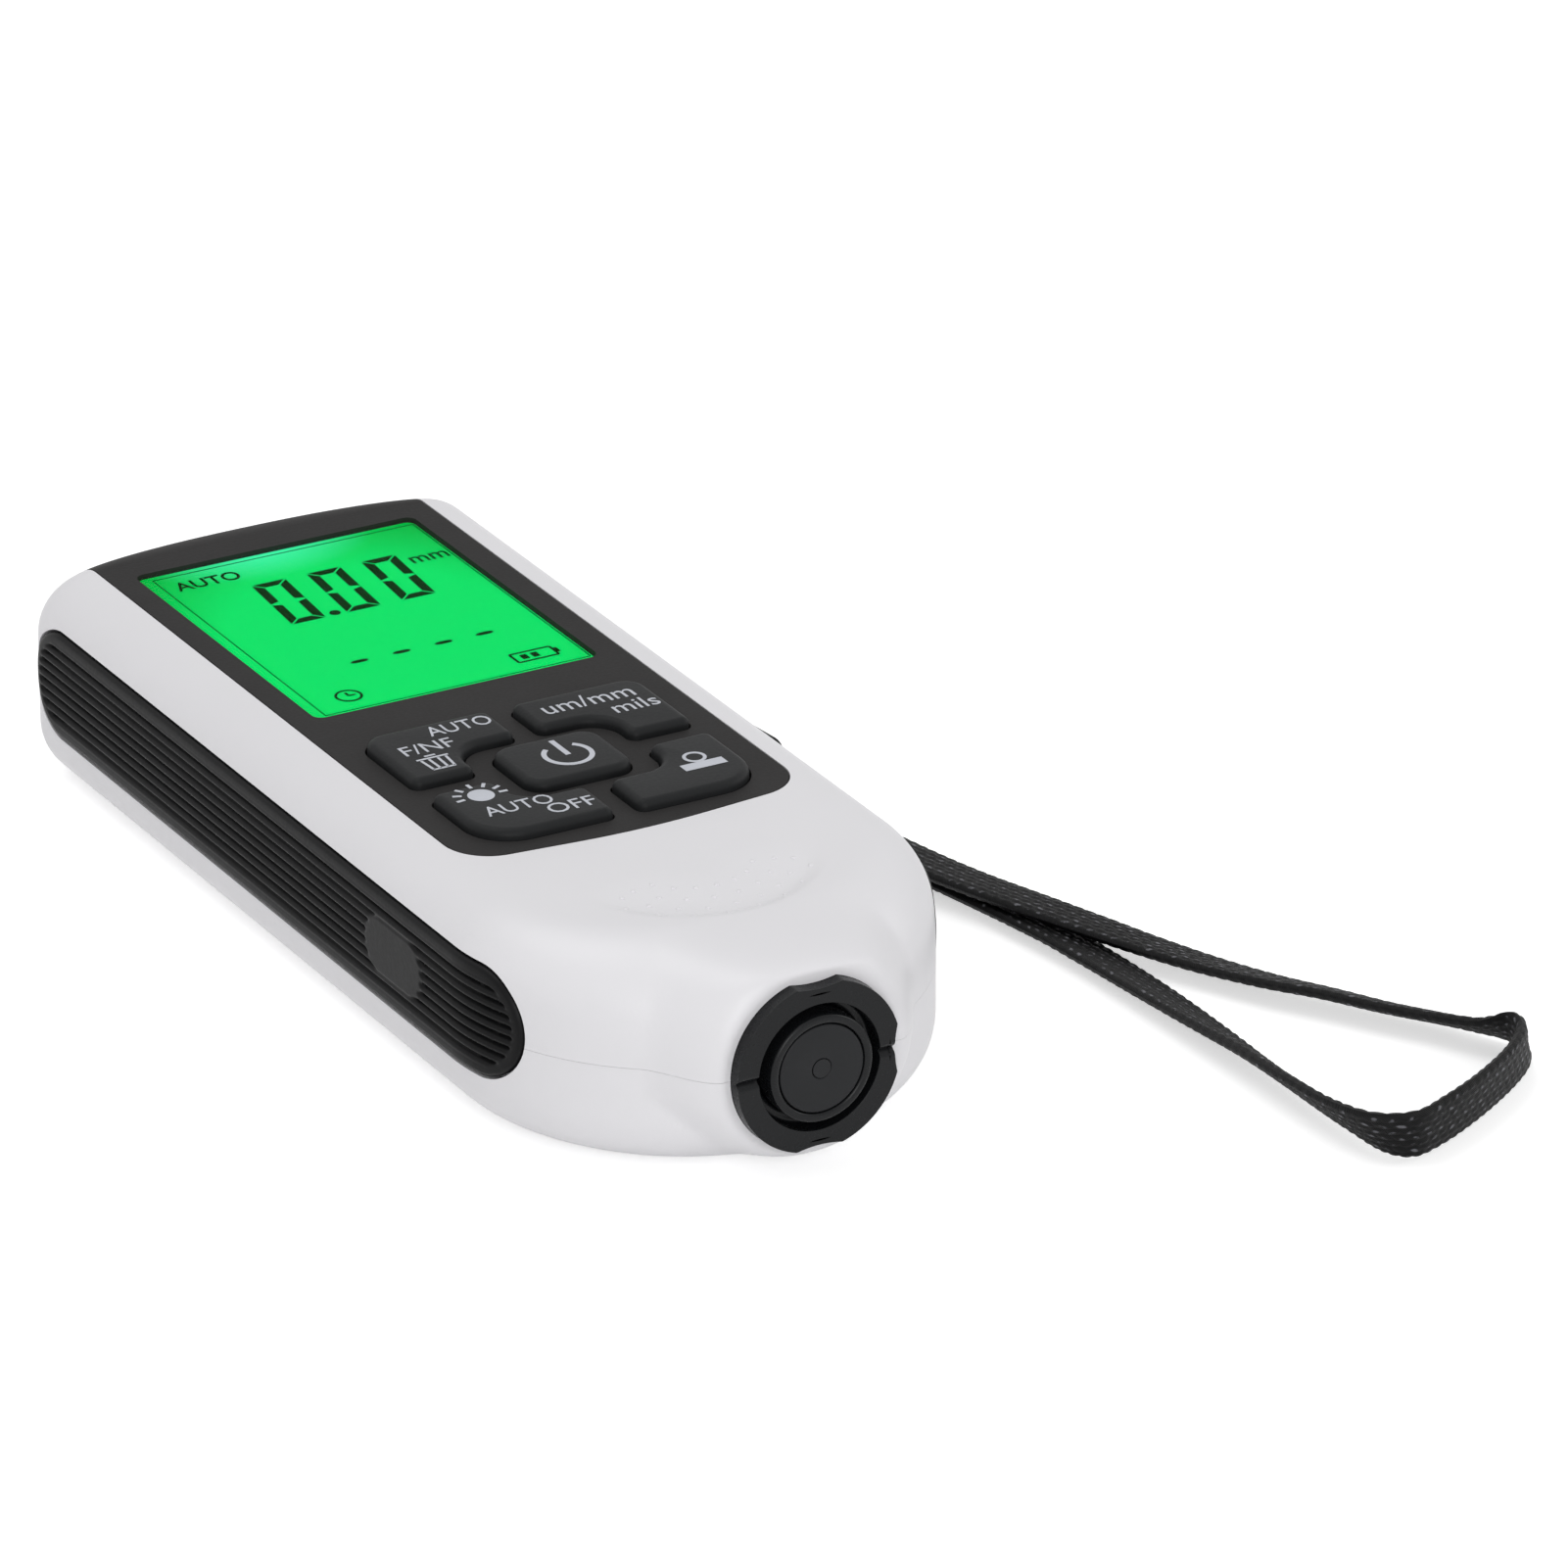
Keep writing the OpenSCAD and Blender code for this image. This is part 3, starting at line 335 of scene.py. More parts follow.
def bake(piece):
    """Replaces a piece's mesh by what its modifiers make of it."""
    bpy.context.view_layer.update()
    graph = bpy.context.evaluated_depsgraph_get()
    mesh = bpy.data.meshes.new_from_object(piece.evaluated_get(graph))
    old = piece.data
    piece.modifiers.clear()
    piece.data = mesh
    bpy.data.meshes.remove(old)
    return piece


def carve(piece, cutter, operation="DIFFERENCE", keep=False):
    cut = piece.modifiers.new("carve", "BOOLEAN")
    cut.operation, cut.solver, cut.object = operation, "EXACT", cutter
    cut.use_self = False
    bake(piece)
    if not keep:
        bpy.data.objects.remove(cutter)
    return piece


def stack_faces(rows, count, closed=True):
    last = count if closed else count - 1
    return [(r * count + i, r * count + (i + 1) % count, (r + 1) * count + (i + 1) % count, (r + 1) * count + i)
            for r in range(rows - 1) for i in range(last)]


def tube_faces(rows, count, cap=True):
    """Faces of a stack of rings, with its ends closed or left open."""
    ends = [tuple(range(count))[::-1], tuple(range((rows - 1) * count, rows * count))]
    return stack_faces(rows, count) + (ends if cap else [])


def loft(name, rings, material, cap=True):
    return mesh_piece(name, [p for ring in rings for p in ring], tube_faces(len(rings), len(rings[0]), cap), material)


def prism(name, outline, z0, z1, material=None):
    return loft(name, [[(x, y, z) for x, y in outline] for z in (z0, z1)], material or abs_white)


def joined(name, pieces):
    """One object from several, with their meshes side by side."""
    tool = bmesh.new()
    materials = []
    for piece in pieces:
        for slot in piece.data.materials:
            if slot not in materials:
                materials.append(slot)
        before = len(tool.faces)
        tool.from_mesh(piece.data)
        tool.faces.ensure_lookup_table()
        index = materials.index(piece.data.materials[0])
        for face in tool.faces[before:]:
            face.material_index = index
    mesh = bpy.data.meshes.new(name)
    tool.to_mesh(mesh)
    tool.free()
    for slot in materials:
        mesh.materials.append(slot)
    for piece in pieces:
        bpy.data.objects.remove(piece)
    return add_object(name, mesh)


def dress(piece, body, slot, *nodes):
    """Hands a finished piece to the frame."""
    if nodes:
        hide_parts(*nodes)
    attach(piece, body)
    return piece


ARC_STEPS = 10


def rounded(corners, grow=0.0, steps=ARC_STEPS):
    """Outline with rounded corners, grown outwards; each corner is (x, y, radius), anticlockwise."""
    outline = []
    count = len(corners)
    for i, (x, y, radius) in enumerate(corners):
        before, after = corners[i - 1], corners[(i + 1) % count]
        a = np.array([before[0] - x, before[1] - y])
        b = np.array([after[0] - x, after[1] - y])
        a, b = a / norm(a), b / norm(b)
        turn = 1 if a[1] * b[0] - a[0] * b[1] > 0 else -1
        half = acos(max(-1.0, min(1.0, float(a @ b)))) / 2
        r = max(0.02, radius + turn * grow)
        mid = (a + b) / norm(a + b)
        centre = np.array([x, y]) + mid * (-turn * grow + r) / sin(half)
        first = atan2(mid[1], mid[0]) + pi - turn * (pi / 2 - half)
        for k in range(steps + 1):
            w = first + turn * (pi - 2 * half) * k / steps
            outline.append((centre[0] + r * cos(w), centre[1] + r * sin(w)))
    return outline


def box_corners(w, l, r, y, x=0.0):
    return [(x + i * w / 2, y + j * l / 2, r) for i, j in ((-1, -1), (1, -1), (1, 1), (-1, 1))]


def disc(x, y, r, steps=32):
    turns = [2 * pi * k / steps for k in range(steps)]
    return [(x + r * cos(a), y + r * sin(a)) for a in turns]


# The moulded skin of the case

def draw_in(r, dz):
    return r - sqrt(max(0.0, r * r - dz * dz))


def edge_in(z, d, top_r, back_r):
    """How far a rounded edge draws in at height z, d deep in the wall."""
    if z > BODY_H - top_r:
        return draw_in(top_r - d, z - (BODY_H - top_r))
    if z < back_r:
        return draw_in(back_r - d, back_r - z)
    return 0.0


NOSE_STEPS, SIDE_STEPS, FAR_STEPS = 150, 40, 72
# How much closer the steps lie round the collar
NOSE_CROWDING = 0.55
EDGE_LEVELS, WALL_LEVELS, CAP_RINGS = 44, 16, 44
# Unseen inner skins: one level in so many, and rings in their caps
INNER_STEP, INNER_RINGS, FOOT_RINGS = 6, 4, 2


def reaches(z, d):
    """Half width of the case at height z, d deep in the wall, and the lengths of its nose and its display end."""
    return (HALF_W - d - edge_in(z, d, SIDE_TOP_R, SIDE_BACK_R),
            HALF_W - d - edge_in(z, d, NOSE_TOP_R, NOSE_BACK_R),
            FAR_DEPTH - d - edge_in(z, d, FAR_TOP_R, FAR_BACK_R))


def skin_loop(z, d):
    """One level of the skin: a half-round nose, straight sides and a squarish display end."""
    s, n, f = reaches(z, d)
    loop = []
    for i in range(NOSE_STEPS + 1):
        t = 2 * pi * i / NOSE_STEPS
        a = pi + (t + NOSE_CROWDING * sin(t)) / 2
        loop.append((s * cos(a), NOSE_CY + n * sin(a), z))
    sides = [NOSE_CY + (FAR_CY - NOSE_CY) * i / SIDE_STEPS for i in range(1, SIDE_STEPS)]
    loop += [(s, y, z) for y in sides]
    for i in range(FAR_STEPS + 1):
        a = pi * i / FAR_STEPS
        c, t = cos(a), max(0.0, sin(a))
        loop.append((s * copysign(abs(c) ** (2 / FAR_POWER), c), FAR_CY + f * t ** (2 / FAR_POWER), z))
    loop += [(-s, y, z) for y in reversed(sides)]
    return loop


def cap_loops(loop, rings):
    """Loops that close a level inwards to its middle line."""
    out = []
    for k in range(1, rings + 1):
        s = 1 - k / rings
        out.append([(x * s, NOSE_CY + (y - NOSE_CY) * s if y < NOSE_CY else
                     FAR_CY + (y - FAR_CY) * s if y > FAR_CY else y, z) for x, y, z in loop])
    return out


def levels(d, upward):
    """Heights from the seam to the face, or from the seam down to the back."""
    way = 1 if upward else -1
    r = max(SIDE_TOP_R, NOSE_TOP_R, FAR_TOP_R) if upward else max(SIDE_BACK_R, NOSE_BACK_R, FAR_BACK_R)
    start, edge = SPLIT + way * SEAM / 2, BODY_H - r if upward else r
    rise = [edge + way * (r - d) * sin(pi / 2 * k / EDGE_LEVELS) for k in range(EDGE_LEVELS + 1)]
    straight = [start + (edge - start) * k / WALL_LEVELS for k in range(WALL_LEVELS)]
    return straight + rise


def soft_min(a, b, width):
    h = max(width - abs(a - b), 0.0) / width
    return min(a, b) - h * h * width / 4


def smooth_step(a, b, v):
    t = min(1.0, max(0.0, (v - a) / (b - a)))
    return t * t * (3 - 2 * t)


def moulded(point):
    """The skin's two free forms: the thumb dish in the face, and the flared seat of the collar."""
    x, y, z = point
    if z > BODY_H - DISH_UNDER and y < DISH_Y:
        r = hypot(x, y - DISH_Y)
        turn = degrees(atan2(abs(x), DISH_Y - y))
        sink = smooth_step(DISH_START, DISH_R - DISH_WALL, r) * smooth_step(DISH_R, DISH_R - DISH_WALL, r)
        z -= DISH_DEPTH * sink * smooth_step(*DISH_SWEEP, turn) * min(1.0, (z - BODY_H + DISH_UNDER) / DISH_FADE)
    if y < Y_NOSE + SEAT_REACH:
        r = hypot(x, z - PROBE_Z)
        low_share = smooth_step(*SEAT_TURN, (PROBE_Z - z) / SEAT_R)
        flare, blend, near, far = (a + (b - a) * low_share for a, b in zip(SEAT_TOP, SEAT_BACK))
        flared = soft_min(y, SEAT_Y + flare * max(0.0, r - SEAT_R) ** 2, blend)
        y = flared + (y - flared) * smooth_step(near, far, y - Y_NOSE)
        if r < SEAT_R:
            y = max(y, SEAT_Y)
    return (x, y, z)


def shell(name, upward):
    """One half of the case as a closed wall: outer skin, rim at the seam and inner skin."""
    outer = [skin_loop(z, 0.0) for z in levels(0.0, upward)]
    outer += cap_loops(outer[-1], CAP_RINGS)
    outer = [[moulded(p) for p in loop] for loop in outer]
    inner = [skin_loop(z, WALL) for z in levels(WALL, upward)[::INNER_STEP]]
    inner.append(skin_loop(levels(WALL, upward)[-1], WALL))
    inner += cap_loops(inner[-1], INNER_RINGS)
    return loft(name, outer[::-1] + inner, abs_white, cap=False)


CORE_FOOT = 4.0


def core(name, d, with_form=False):
    """The form inside the skin, d deep, as a solid from near the back up to the face."""
    rings = [skin_loop(z, d) for z in [CORE_FOOT] + levels(d, True)]
    rings += cap_loops(rings[-1], CAP_RINGS if with_form else INNER_RINGS)
    if with_form:
        rings = [[moulded(p) for p in loop] for loop in rings]
    foot = cap_loops(rings[0], FOOT_RINGS)[::-1]
    return loft(name, foot + rings, panel_film, cap=False)


def full_core(name, d):
    """The whole form inside the skin, d deep."""
    rings = [skin_loop(z, d) for z in levels(d, False)[::-1] + levels(d, True)]
    foot, head = cap_loops(rings[0], FOOT_RINGS)[::-1], cap_loops(rings[-1], FOOT_RINGS)
    return loft(name, foot + rings + head, grip_rubber, cap=False)


# Outlines on the face

# How far outlines and cutters run past the case, and the radius of a sharp corner
PAST, OVER_FACE, SHARP_R = 2.0, BODY_H + 4.0, 0.05
panel_corners = [
    (-PANEL_W / 2, PANEL_LOW + PANEL_BOW, PANEL_CORNER_R), (0, PANEL_LOW, PANEL_BOW_R),
    (PANEL_W / 2, PANEL_LOW + PANEL_BOW, PANEL_CORNER_R),
    (PANEL_W / 2, Y_FAR + PAST, SHARP_R), (-PANEL_W / 2, Y_FAR + PAST, SHARP_R)]
window_corners = box_corners(WINDOW_W, WINDOW_L, WINDOW_R, WINDOW_Y)

PAD_W, PAD_L = 28.6, high("key_mode").y - low("key_light").y
POWER_W, POWER_L = 10.8, high("key_power").y - low("key_power").y
KEY_GAP_X = 2 * low("key_units").x
KEY_GAP_Y = 2 * (low("key_units").y - KEYS_Y)
KEY_MOAT_X, KEY_MOAT_Y = 2.6, 2.0
KEY_CLEAR = 0.2
KEY_EDGE = 0.75
KEY_NAMES = ["key_power", "key_mode", "key_units", "key_light", "key_zero"]
SMALL_R, OUTER_R, LOWER_R, NOTCH_R, POWER_R = 0.9, 2.2, 4.5, 3.2, 2.0


def key_corners(k):
    if k == 0:
        return box_corners(POWER_W, POWER_L, POWER_R, KEYS_Y)
    sx, sy = (-1 if k in (1, 3) else 1), (1 if k <= 2 else -1)
    nx, ny = POWER_W / 2 + KEY_MOAT_X, POWER_L / 2 + KEY_MOAT_Y
    far_r = OUTER_R if k <= 2 else LOWER_R
    shape = [(KEY_GAP_X / 2, ny, SMALL_R), (nx, ny, NOTCH_R), (nx, KEY_GAP_Y / 2, SMALL_R),
             (PAD_W / 2, KEY_GAP_Y / 2, SMALL_R), (PAD_W / 2, PAD_L / 2, far_r), (KEY_GAP_X / 2, PAD_L / 2, SMALL_R)]
    turned = [(sx * x, KEYS_Y + sy * y, r) for x, y, r in shape]
    return turned if sx * sy > 0 else turned[::-1]


# Case halves and panel

GRIP_H, GRIP_Z = 10.7, 11.3
GRIP_NEAR, GRIP_FAR = low("side_grip_left").y, high("side_grip_left").y
GRIP_PROUD, GRIP_DEPTH, GRIP_GAP = 0.2, 1.3, 0.15
GRIP_REACH = 7.0
# Gap behind the panel and the grips
BED_GAP = 0.05
SLOT_STEPS, POST_STEPS, PANEL_STEPS = 32, 48, 16


def side_slot(name, x0, x1):
    """Round-ended bed of a grip, as a prism along X."""
    r = GRIP_H / 2
    outline = []
    for cy, first in ((GRIP_FAR - r, -90), (GRIP_NEAR + r, 90)):
        for k in range(SLOT_STEPS + 1):
            a = radians(first + 180 * k / SLOT_STEPS)
            outline.append((cy + (r + GRIP_GAP) * cos(a), GRIP_Z + (r + GRIP_GAP) * sin(a)))
    return loft(name, [[(x, y, z) for y, z in outline] for x in (x0, x1)], abs_white)


def grip_cutter():
    cutter = joined("grip_cutter", [side_slot("slot_left", -HALF_W - PAST, -HALF_W + GRIP_REACH),
                                    side_slot("slot_right", HALF_W - GRIP_REACH, HALF_W + PAST)])
    return carve(cutter, full_core("grip_core", GRIP_DEPTH + BED_GAP))


# Rim of the collar, with a notch at its top, its bottom and its right side
TURN_STEPS = 240
TURNS = [2 * pi * k / TURN_STEPS for k in range(TURN_STEPS)]
SCALLOP_R, SCALLOP_DEPTH = 10.0, 0.6
COLLAR_CLEAR, COLLAR_BED = 0.04, 12.0
# Cosine past which the left side of the rim stays plain
PLAIN_SIDE = -0.7


def rim_r(a):
    """Radius of the collar's rim at an angle."""
    quarter = pi / 2
    b = (a + quarter / 2) % quarter - quarter / 2
    centre = COLLAR_R - SCALLOP_DEPTH + SCALLOP_R
    root = SCALLOP_R ** 2 - (centre * sin(b)) ** 2
    if root < 0 or cos(a) < PLAIN_SIDE:
        return COLLAR_R
    return min(COLLAR_R, centre * cos(b) - sqrt(root))


def on_axis(r, y, a):
    """A point at a radius and an angle round the probe's axis."""
    return (r * cos(a), y, PROBE_Z + r * sin(a))


collar_cutter = loft("collar_cutter", [[on_axis(rim_r(a) + COLLAR_CLEAR, y, a) for a in TURNS]
                                       for y in (Y_COLLAR - PAST, Y_NOSE + COLLAR_BED)], abs_white)
grips_cut = grip_cutter()

front = shell("case_front", True)
panel_cutter = prism("panel_cutter", rounded(panel_corners, PANEL_GAP, PANEL_STEPS),
                     BODY_H - PANEL_DROP - PANEL_GAP, OVER_FACE)
carve(panel_cutter, core("panel_core", PANEL_T + BED_GAP))
carve(front, panel_cutter)
carve(front, prism("window_cutter", rounded(window_corners), SPLIT + 1, OVER_FACE))
carve(front, collar_cutter, keep=True)
carve(front, grips_cut, keep=True)
dress(smooth(front, 40), "case", "case_white", "front_shell")

panel = prism("face_panel_film", rounded(panel_corners, 0.0, PANEL_STEPS), BODY_H - PANEL_DROP, OVER_FACE, panel_film)
carve(panel, core("panel_outside", 0.0, True), "INTERSECT")
carve(panel, core("panel_inside", PANEL_T))
holes = [rounded(window_corners)] + [rounded(key_corners(k), KEY_CLEAR) for k in range(len(KEY_NAMES))]
carve(panel, joined("panel_holes", [prism(f"hole_{i}", hole, SPLIT, OVER_FACE) for i, hole in enumerate(holes)]))
dress(smooth(panel, 40), "case", "panel_grey", "face_panel")

# The back: battery bay, door opening, screw holes and the strap's eyelet
DOOR_LOW, DOOR_HIGH = low("battery_door"), high("battery_door")
DOOR_GAP, DOOR_R = 0.2, 1.2
CELL_LOW, CELL_HIGH = low("battery_left"), high("battery_right")
PLATES_LOW, PLATES_HIGH = low("battery_contacts"), high("battery_contacts")
BAY_X = max(-CELL_LOW.x, CELL_HIGH.x) + 0.3
BAY_WALL, BAY_FLOOR, BAY_R, BAY_INNER_R = 1.0, 1.2, 0.3, 0.2
BAY_TOP = CELL_HIGH.z - 1.0
BAY_Y = (PLATES_LOW.y + PLATES_HIGH.y) / 2
BAY_L = PLATES_HIGH.y - PLATES_LOW.y
SCREWS = low("case_screws"), high("case_screws")
SCREW_HEAD_R, SCREW_CLEAR, SCREW_BED = 2.0, 0.15, 5.0
EYELET_Y, EYELET_W = Y_FAR - 11.0, STRAP_W + 1.7
EYELET_LOW, EYELET_HIGH, EYELET_R = 1.2, 5.6, 0.5
EYELET_IN, EYELET_OUT = HALF_W - 4.6, HALF_W + 4.0
EYELET_POST_R, EYELET_POST_X = 1.0, HALF_W - 3.0
# Overlap of the door's opening and the bay
LAP = 0.01

rear = shell("case_rear", False)
carve(rear, prism("bay_ring", rounded(box_corners(2 * (BAY_X + BAY_WALL), BAY_L + 2 * BAY_WALL, BAY_R, BAY_Y)),
                  BAY_FLOOR, BAY_TOP), "UNION")
carve(rear, prism("bay_cut", rounded(box_corners(2 * BAY_X, BAY_L, BAY_INNER_R, BAY_Y)), DOOR_HIGH.z - LAP, BODY_H))
door_corners = box_corners(DOOR_HIGH.x - DOOR_LOW.x, DOOR_HIGH.y - DOOR_LOW.y, DOOR_R, (DOOR_LOW.y + DOOR_HIGH.y) / 2)
carve(rear, prism("door_cut", rounded(door_corners, DOOR_GAP), -PAST, DOOR_HIGH.z + LAP))
eyelet = prism("eyelet_cut", rounded(box_corners(EYELET_OUT - EYELET_IN, EYELET_W, EYELET_R, EYELET_Y,
                                                 (EYELET_OUT + EYELET_IN) / 2)), EYELET_LOW, EYELET_HIGH)
carve(eyelet, prism("eyelet_post", disc(EYELET_POST_X, EYELET_Y, EYELET_POST_R, POST_STEPS), 0, SPLIT))
carve(rear, eyelet)
carve(rear, joined("screw_holes", [
    prism(f"screw_hole_{x}_{y}", disc(x, y, SCREW_HEAD_R + SCREW_CLEAR, POST_STEPS), -PAST, SCREW_BED)
    for x in (SCREWS[0].x + SCREW_HEAD_R, SCREWS[1].x - SCREW_HEAD_R)
    for y in (SCREWS[0].y + SCREW_HEAD_R, SCREWS[1].y - SCREW_HEAD_R)]))
carve(rear, collar_cutter)
carve(rear, grips_cut)
dress(smooth(rear, 40), "case", "case_white", "rear_shell")


# Keys

KEY_EDGE_LEVELS, KEY_FOOT = 8, 0.8


def key_cap(k, name):
    """A moulded key: straight sides and a wide soft shoulder into a flat top."""
    outline = key_corners(k)
    rings = [[(x, y, low(name).z + KEY_FOOT) for x, y in rounded(outline)]]
    for i in range(KEY_EDGE_LEVELS + 1):
        a = pi / 2 * i / KEY_EDGE_LEVELS
        inset, z = KEY_EDGE * (1 - cos(a)), KEY_TOP - KEY_EDGE * (1 - sin(a))
        rings.append([(x, y, z) for x, y in rounded(outline, -inset)])
    return smooth(loft(name + "_cap", rings, silicone), 50)


for k, name in enumerate(KEY_NAMES):
    dress(key_cap(k, name), name, "key_rubber", name)


# Grips: grooves run along them round a plain oval, inside a rounded rim
GROOVES, GRIP_RIM = 8, 1.3
RIB_PITCH = (GRIP_H - 2 * GRIP_RIM) / GROOVES
GROOVE_DEPTH = 0.65
RIM_ROUND = 0.6
OVAL_Y, OVAL_L, OVAL_H = GRIP_NEAR + 20.5, 11.0, 5.6
GRIP_COLUMNS, GRIP_ROWS = 420, 104
# Where the grooves start inside the rim and stop round the oval, and how sharp their ridges are
RIB_START, OVAL_STOP, RIB_POWER = (GRIP_RIM - 0.35, GRIP_RIM + 0.15), (-0.3, 0.3), 0.8
# Columns crowd together at the round ends: their share at each end, and its reach in radii
END_SHARE, END_REACH = 0.1, 1.8
SLOPE_STEP = 0.05


def skin_x(y, z):
    """Half width of the case at a place on its side."""
    s, n, f = reaches(z, 0.0)
    if y < NOSE_CY:
        return s * sqrt(max(0.0, 1 - ((y - NOSE_CY) / n) ** 2))
    if y > FAR_CY:
        return s * max(0.0, 1 - ((y - FAR_CY) / f) ** FAR_POWER) ** (1 / FAR_POWER)
    return s


def beyond(y, y0, y1):
    """How far a place lies past the ends of a stretch."""
    return max(y0 - y, y - y1, 0.0)


def slot_inside(y, z, y0, y1, r):
    """Distance inside the edge of a round-ended slot along the grip."""
    return r - hypot(beyond(y, y0, y1), z - GRIP_Z)


def grip_relief(y, z):
    """Height of the grip above the case's skin."""
    r = GRIP_H / 2
    inside = max(0.0, slot_inside(y, z, GRIP_NEAR + r, GRIP_FAR - r, r))
    half = (OVAL_L - OVAL_H) / 2
    in_oval = slot_inside(y, z, OVAL_Y - half, OVAL_Y + half, OVAL_H / 2)
    ribbed = smooth_step(*RIB_START, inside) * (1 - smooth_step(*OVAL_STOP, in_oval))
    wave = abs(cos(pi * (z - GRIP_Z) / RIB_PITCH)) ** RIB_POWER
    return GRIP_PROUD - draw_in(RIM_ROUND, max(0.0, RIM_ROUND - inside)) - GROOVE_DEPTH * ribbed * (1 - wave)


def grip(name, side):
    r = GRIP_H / 2
    end = r * END_REACH
    outer, inner = [], []
    for i in range(GRIP_COLUMNS + 1):
        t = i / GRIP_COLUMNS
        if t < END_SHARE:
            y = GRIP_NEAR + end * (1 - cos(pi / 2 * t / END_SHARE))
        elif t > 1 - END_SHARE:
            y = GRIP_FAR - end * (1 - cos(pi / 2 * (1 - t) / END_SHARE))
        else:
            y = GRIP_NEAR + end + (GRIP_FAR - GRIP_NEAR - 2 * end) * (t - END_SHARE) / (1 - 2 * END_SHARE)
        half = sqrt(max(0.0, r * r - beyond(y, GRIP_NEAR + r, GRIP_FAR - r) ** 2))
        for j in range(GRIP_ROWS + 1):
            z = GRIP_Z + half * (2 * j / GRIP_ROWS - 1)
            slope = np.array([2 * SLOPE_STEP, skin_x(y - SLOPE_STEP, z) - skin_x(y + SLOPE_STEP, z),
                              skin_x(y, z - SLOPE_STEP) - skin_x(y, z + SLOPE_STEP)])
            slope /= norm(slope)
            skin = np.array([skin_x(y, z), y, z])
            top = skin + slope * grip_relief(y, z)
            under = skin - slope * GRIP_DEPTH
            outer.append((side * top[0], top[1], top[2]))
            inner.append((side * under[0], under[1], under[2]))
    rows, count = GRIP_COLUMNS + 1, GRIP_ROWS + 1
    faces = stack_faces(rows, count, False)
    offset = len(outer)
    faces += [tuple(offset + i for i in face[::-1]) for face in faces]
    rim = [c * count for c in range(rows)], [c * count + count - 1 for c in range(rows)]
    for line in rim:
        faces += [(line[i], line[i + 1], offset + line[i + 1], offset + line[i]) for i in range(rows - 1)]
    return smooth(mesh_piece(name, outer + inner, faces, grip_rubber, 2e-3), 50)


dress(grip("grip_left", -1), "case", "grip_rubber", "side_grip_left")
dress(grip("grip_right", 1), "case", "grip_rubber", "side_grip_right")


# Probe: turned pieces with soft edges. A corner takes no more than this share of its sides
CORNER_SHARE = 0.4
COLLAR_SOFT, SLEEVE_SOFT, TIP_SOFT = 0.35, 0.45, 0.15


def softened(profile, radius, steps=4):
    """Turned profile, closed, with every corner rounded by no more than its sides allow."""
    count = len(profile)
    out = []
    for i, (r, y) in enumerate(profile):
        p, v, q = (np.array(profile[j % count], float) for j in (i - 1, i, i + 1))
        a, b = p - v, q - v
        cut = min(radius, CORNER_SHARE * norm(a), CORNER_SHARE * norm(b))
        a, b = v + a / norm(a) * cut, v + b / norm(b) * cut
        for k in range(steps + 1):
            t = k / steps
            out.append(tuple((1 - t) ** 2 * a + 2 * t * (1 - t) * v + t * t * b))
    return out


def turned(name, profile, material, shape=None):
    """A ring turned from a closed profile of (radius, y), reshaped point by point where asked."""
    points = [on_axis(*(shape(r, y, a) if shape else (r, y)), a) for a in TURNS for r, y in profile]
    faces = [tuple(i % len(points) for i in face) for face in stack_faces(TURN_STEPS + 1, len(profile))]
    return smooth(mesh_piece(name, points, faces, material, 0), 50)


VEE_W, VEE_DEPTH, VEE_FADE, VEE_FROM = 0.95, 0.5, 0.6, MOAT_R - 0.05
FACE_BANDS = 12
# Width of the rim that follows the notches, and the share of its rounding that it keeps
RIM_BAND, RIM_KEEP = 1.0, 0.6


def collar_shape(r, y, a):
    """Notches in the rim, and a groove across the face on both sides."""
    if r > COLLAR_R - RIM_BAND:
        r = min(r, rim_r(a) + (r - COLLAR_R) * RIM_KEEP)
    across = abs(r * sin(a))
    if y < Y_COLLAR + VEE_FADE and r > VEE_FROM and across < VEE_W / 2:
        y += VEE_DEPTH * (1 - across / (VEE_W / 2)) * smooth_step(VEE_FADE, 0.0, y - Y_COLLAR)
    return r, y


COLLAR_BACK = high("probe_collar").y
SLEEVE_BORE = SLEEVE_R + 0.05
collar_profile = [(MOAT_R + (COLLAR_R - MOAT_R) * k / FACE_BANDS, Y_COLLAR) for k in range(FACE_BANDS + 1)]
collar_profile += [(COLLAR_R, Y_COLLAR + COLLAR_HEAD), (COLLAR_TUBE_R, Y_COLLAR + COLLAR_HEAD),
                   (COLLAR_TUBE_R, COLLAR_BACK), (SLEEVE_BORE, COLLAR_BACK),
                   (SLEEVE_BORE, Y_COLLAR + MOAT_DEPTH), (MOAT_R, Y_COLLAR + MOAT_DEPTH)]
collar = turned("collar_ring", softened(collar_profile, COLLAR_SOFT), acetal, collar_shape)
dress(collar, "case", "probe_plastic", "probe_collar")

SLEEVE_BACK = high("probe_sleeve").y
FLANGE_R, FLANGE_T = high("probe_sleeve").x, 1.4
TIP_BORE = TIP_R + 0.1
sleeve_profile = [(TIP_BORE, Y_SLEEVE), (SLEEVE_R, Y_SLEEVE), (SLEEVE_R, SLEEVE_BACK - FLANGE_T),
                  (FLANGE_R, SLEEVE_BACK - FLANGE_T), (FLANGE_R, SLEEVE_BACK), (TIP_BORE, SLEEVE_BACK)]
sleeve = turned("sleeve_ring", softened(sleeve_profile, SLEEVE_SOFT, 6), acetal)
dress(sleeve, "probe", "probe_plastic", "probe_sleeve")
TIP_LOW, TIP_HIGH = low("probe_tip"), high("probe_tip")
POLE_HOLE = 0.95
tip_profile = [(POLE_HOLE, TIP_LOW.y), (TIP_R, TIP_LOW.y), (TIP_R, TIP_HIGH.y), (POLE_HOLE, TIP_HIGH.y)]
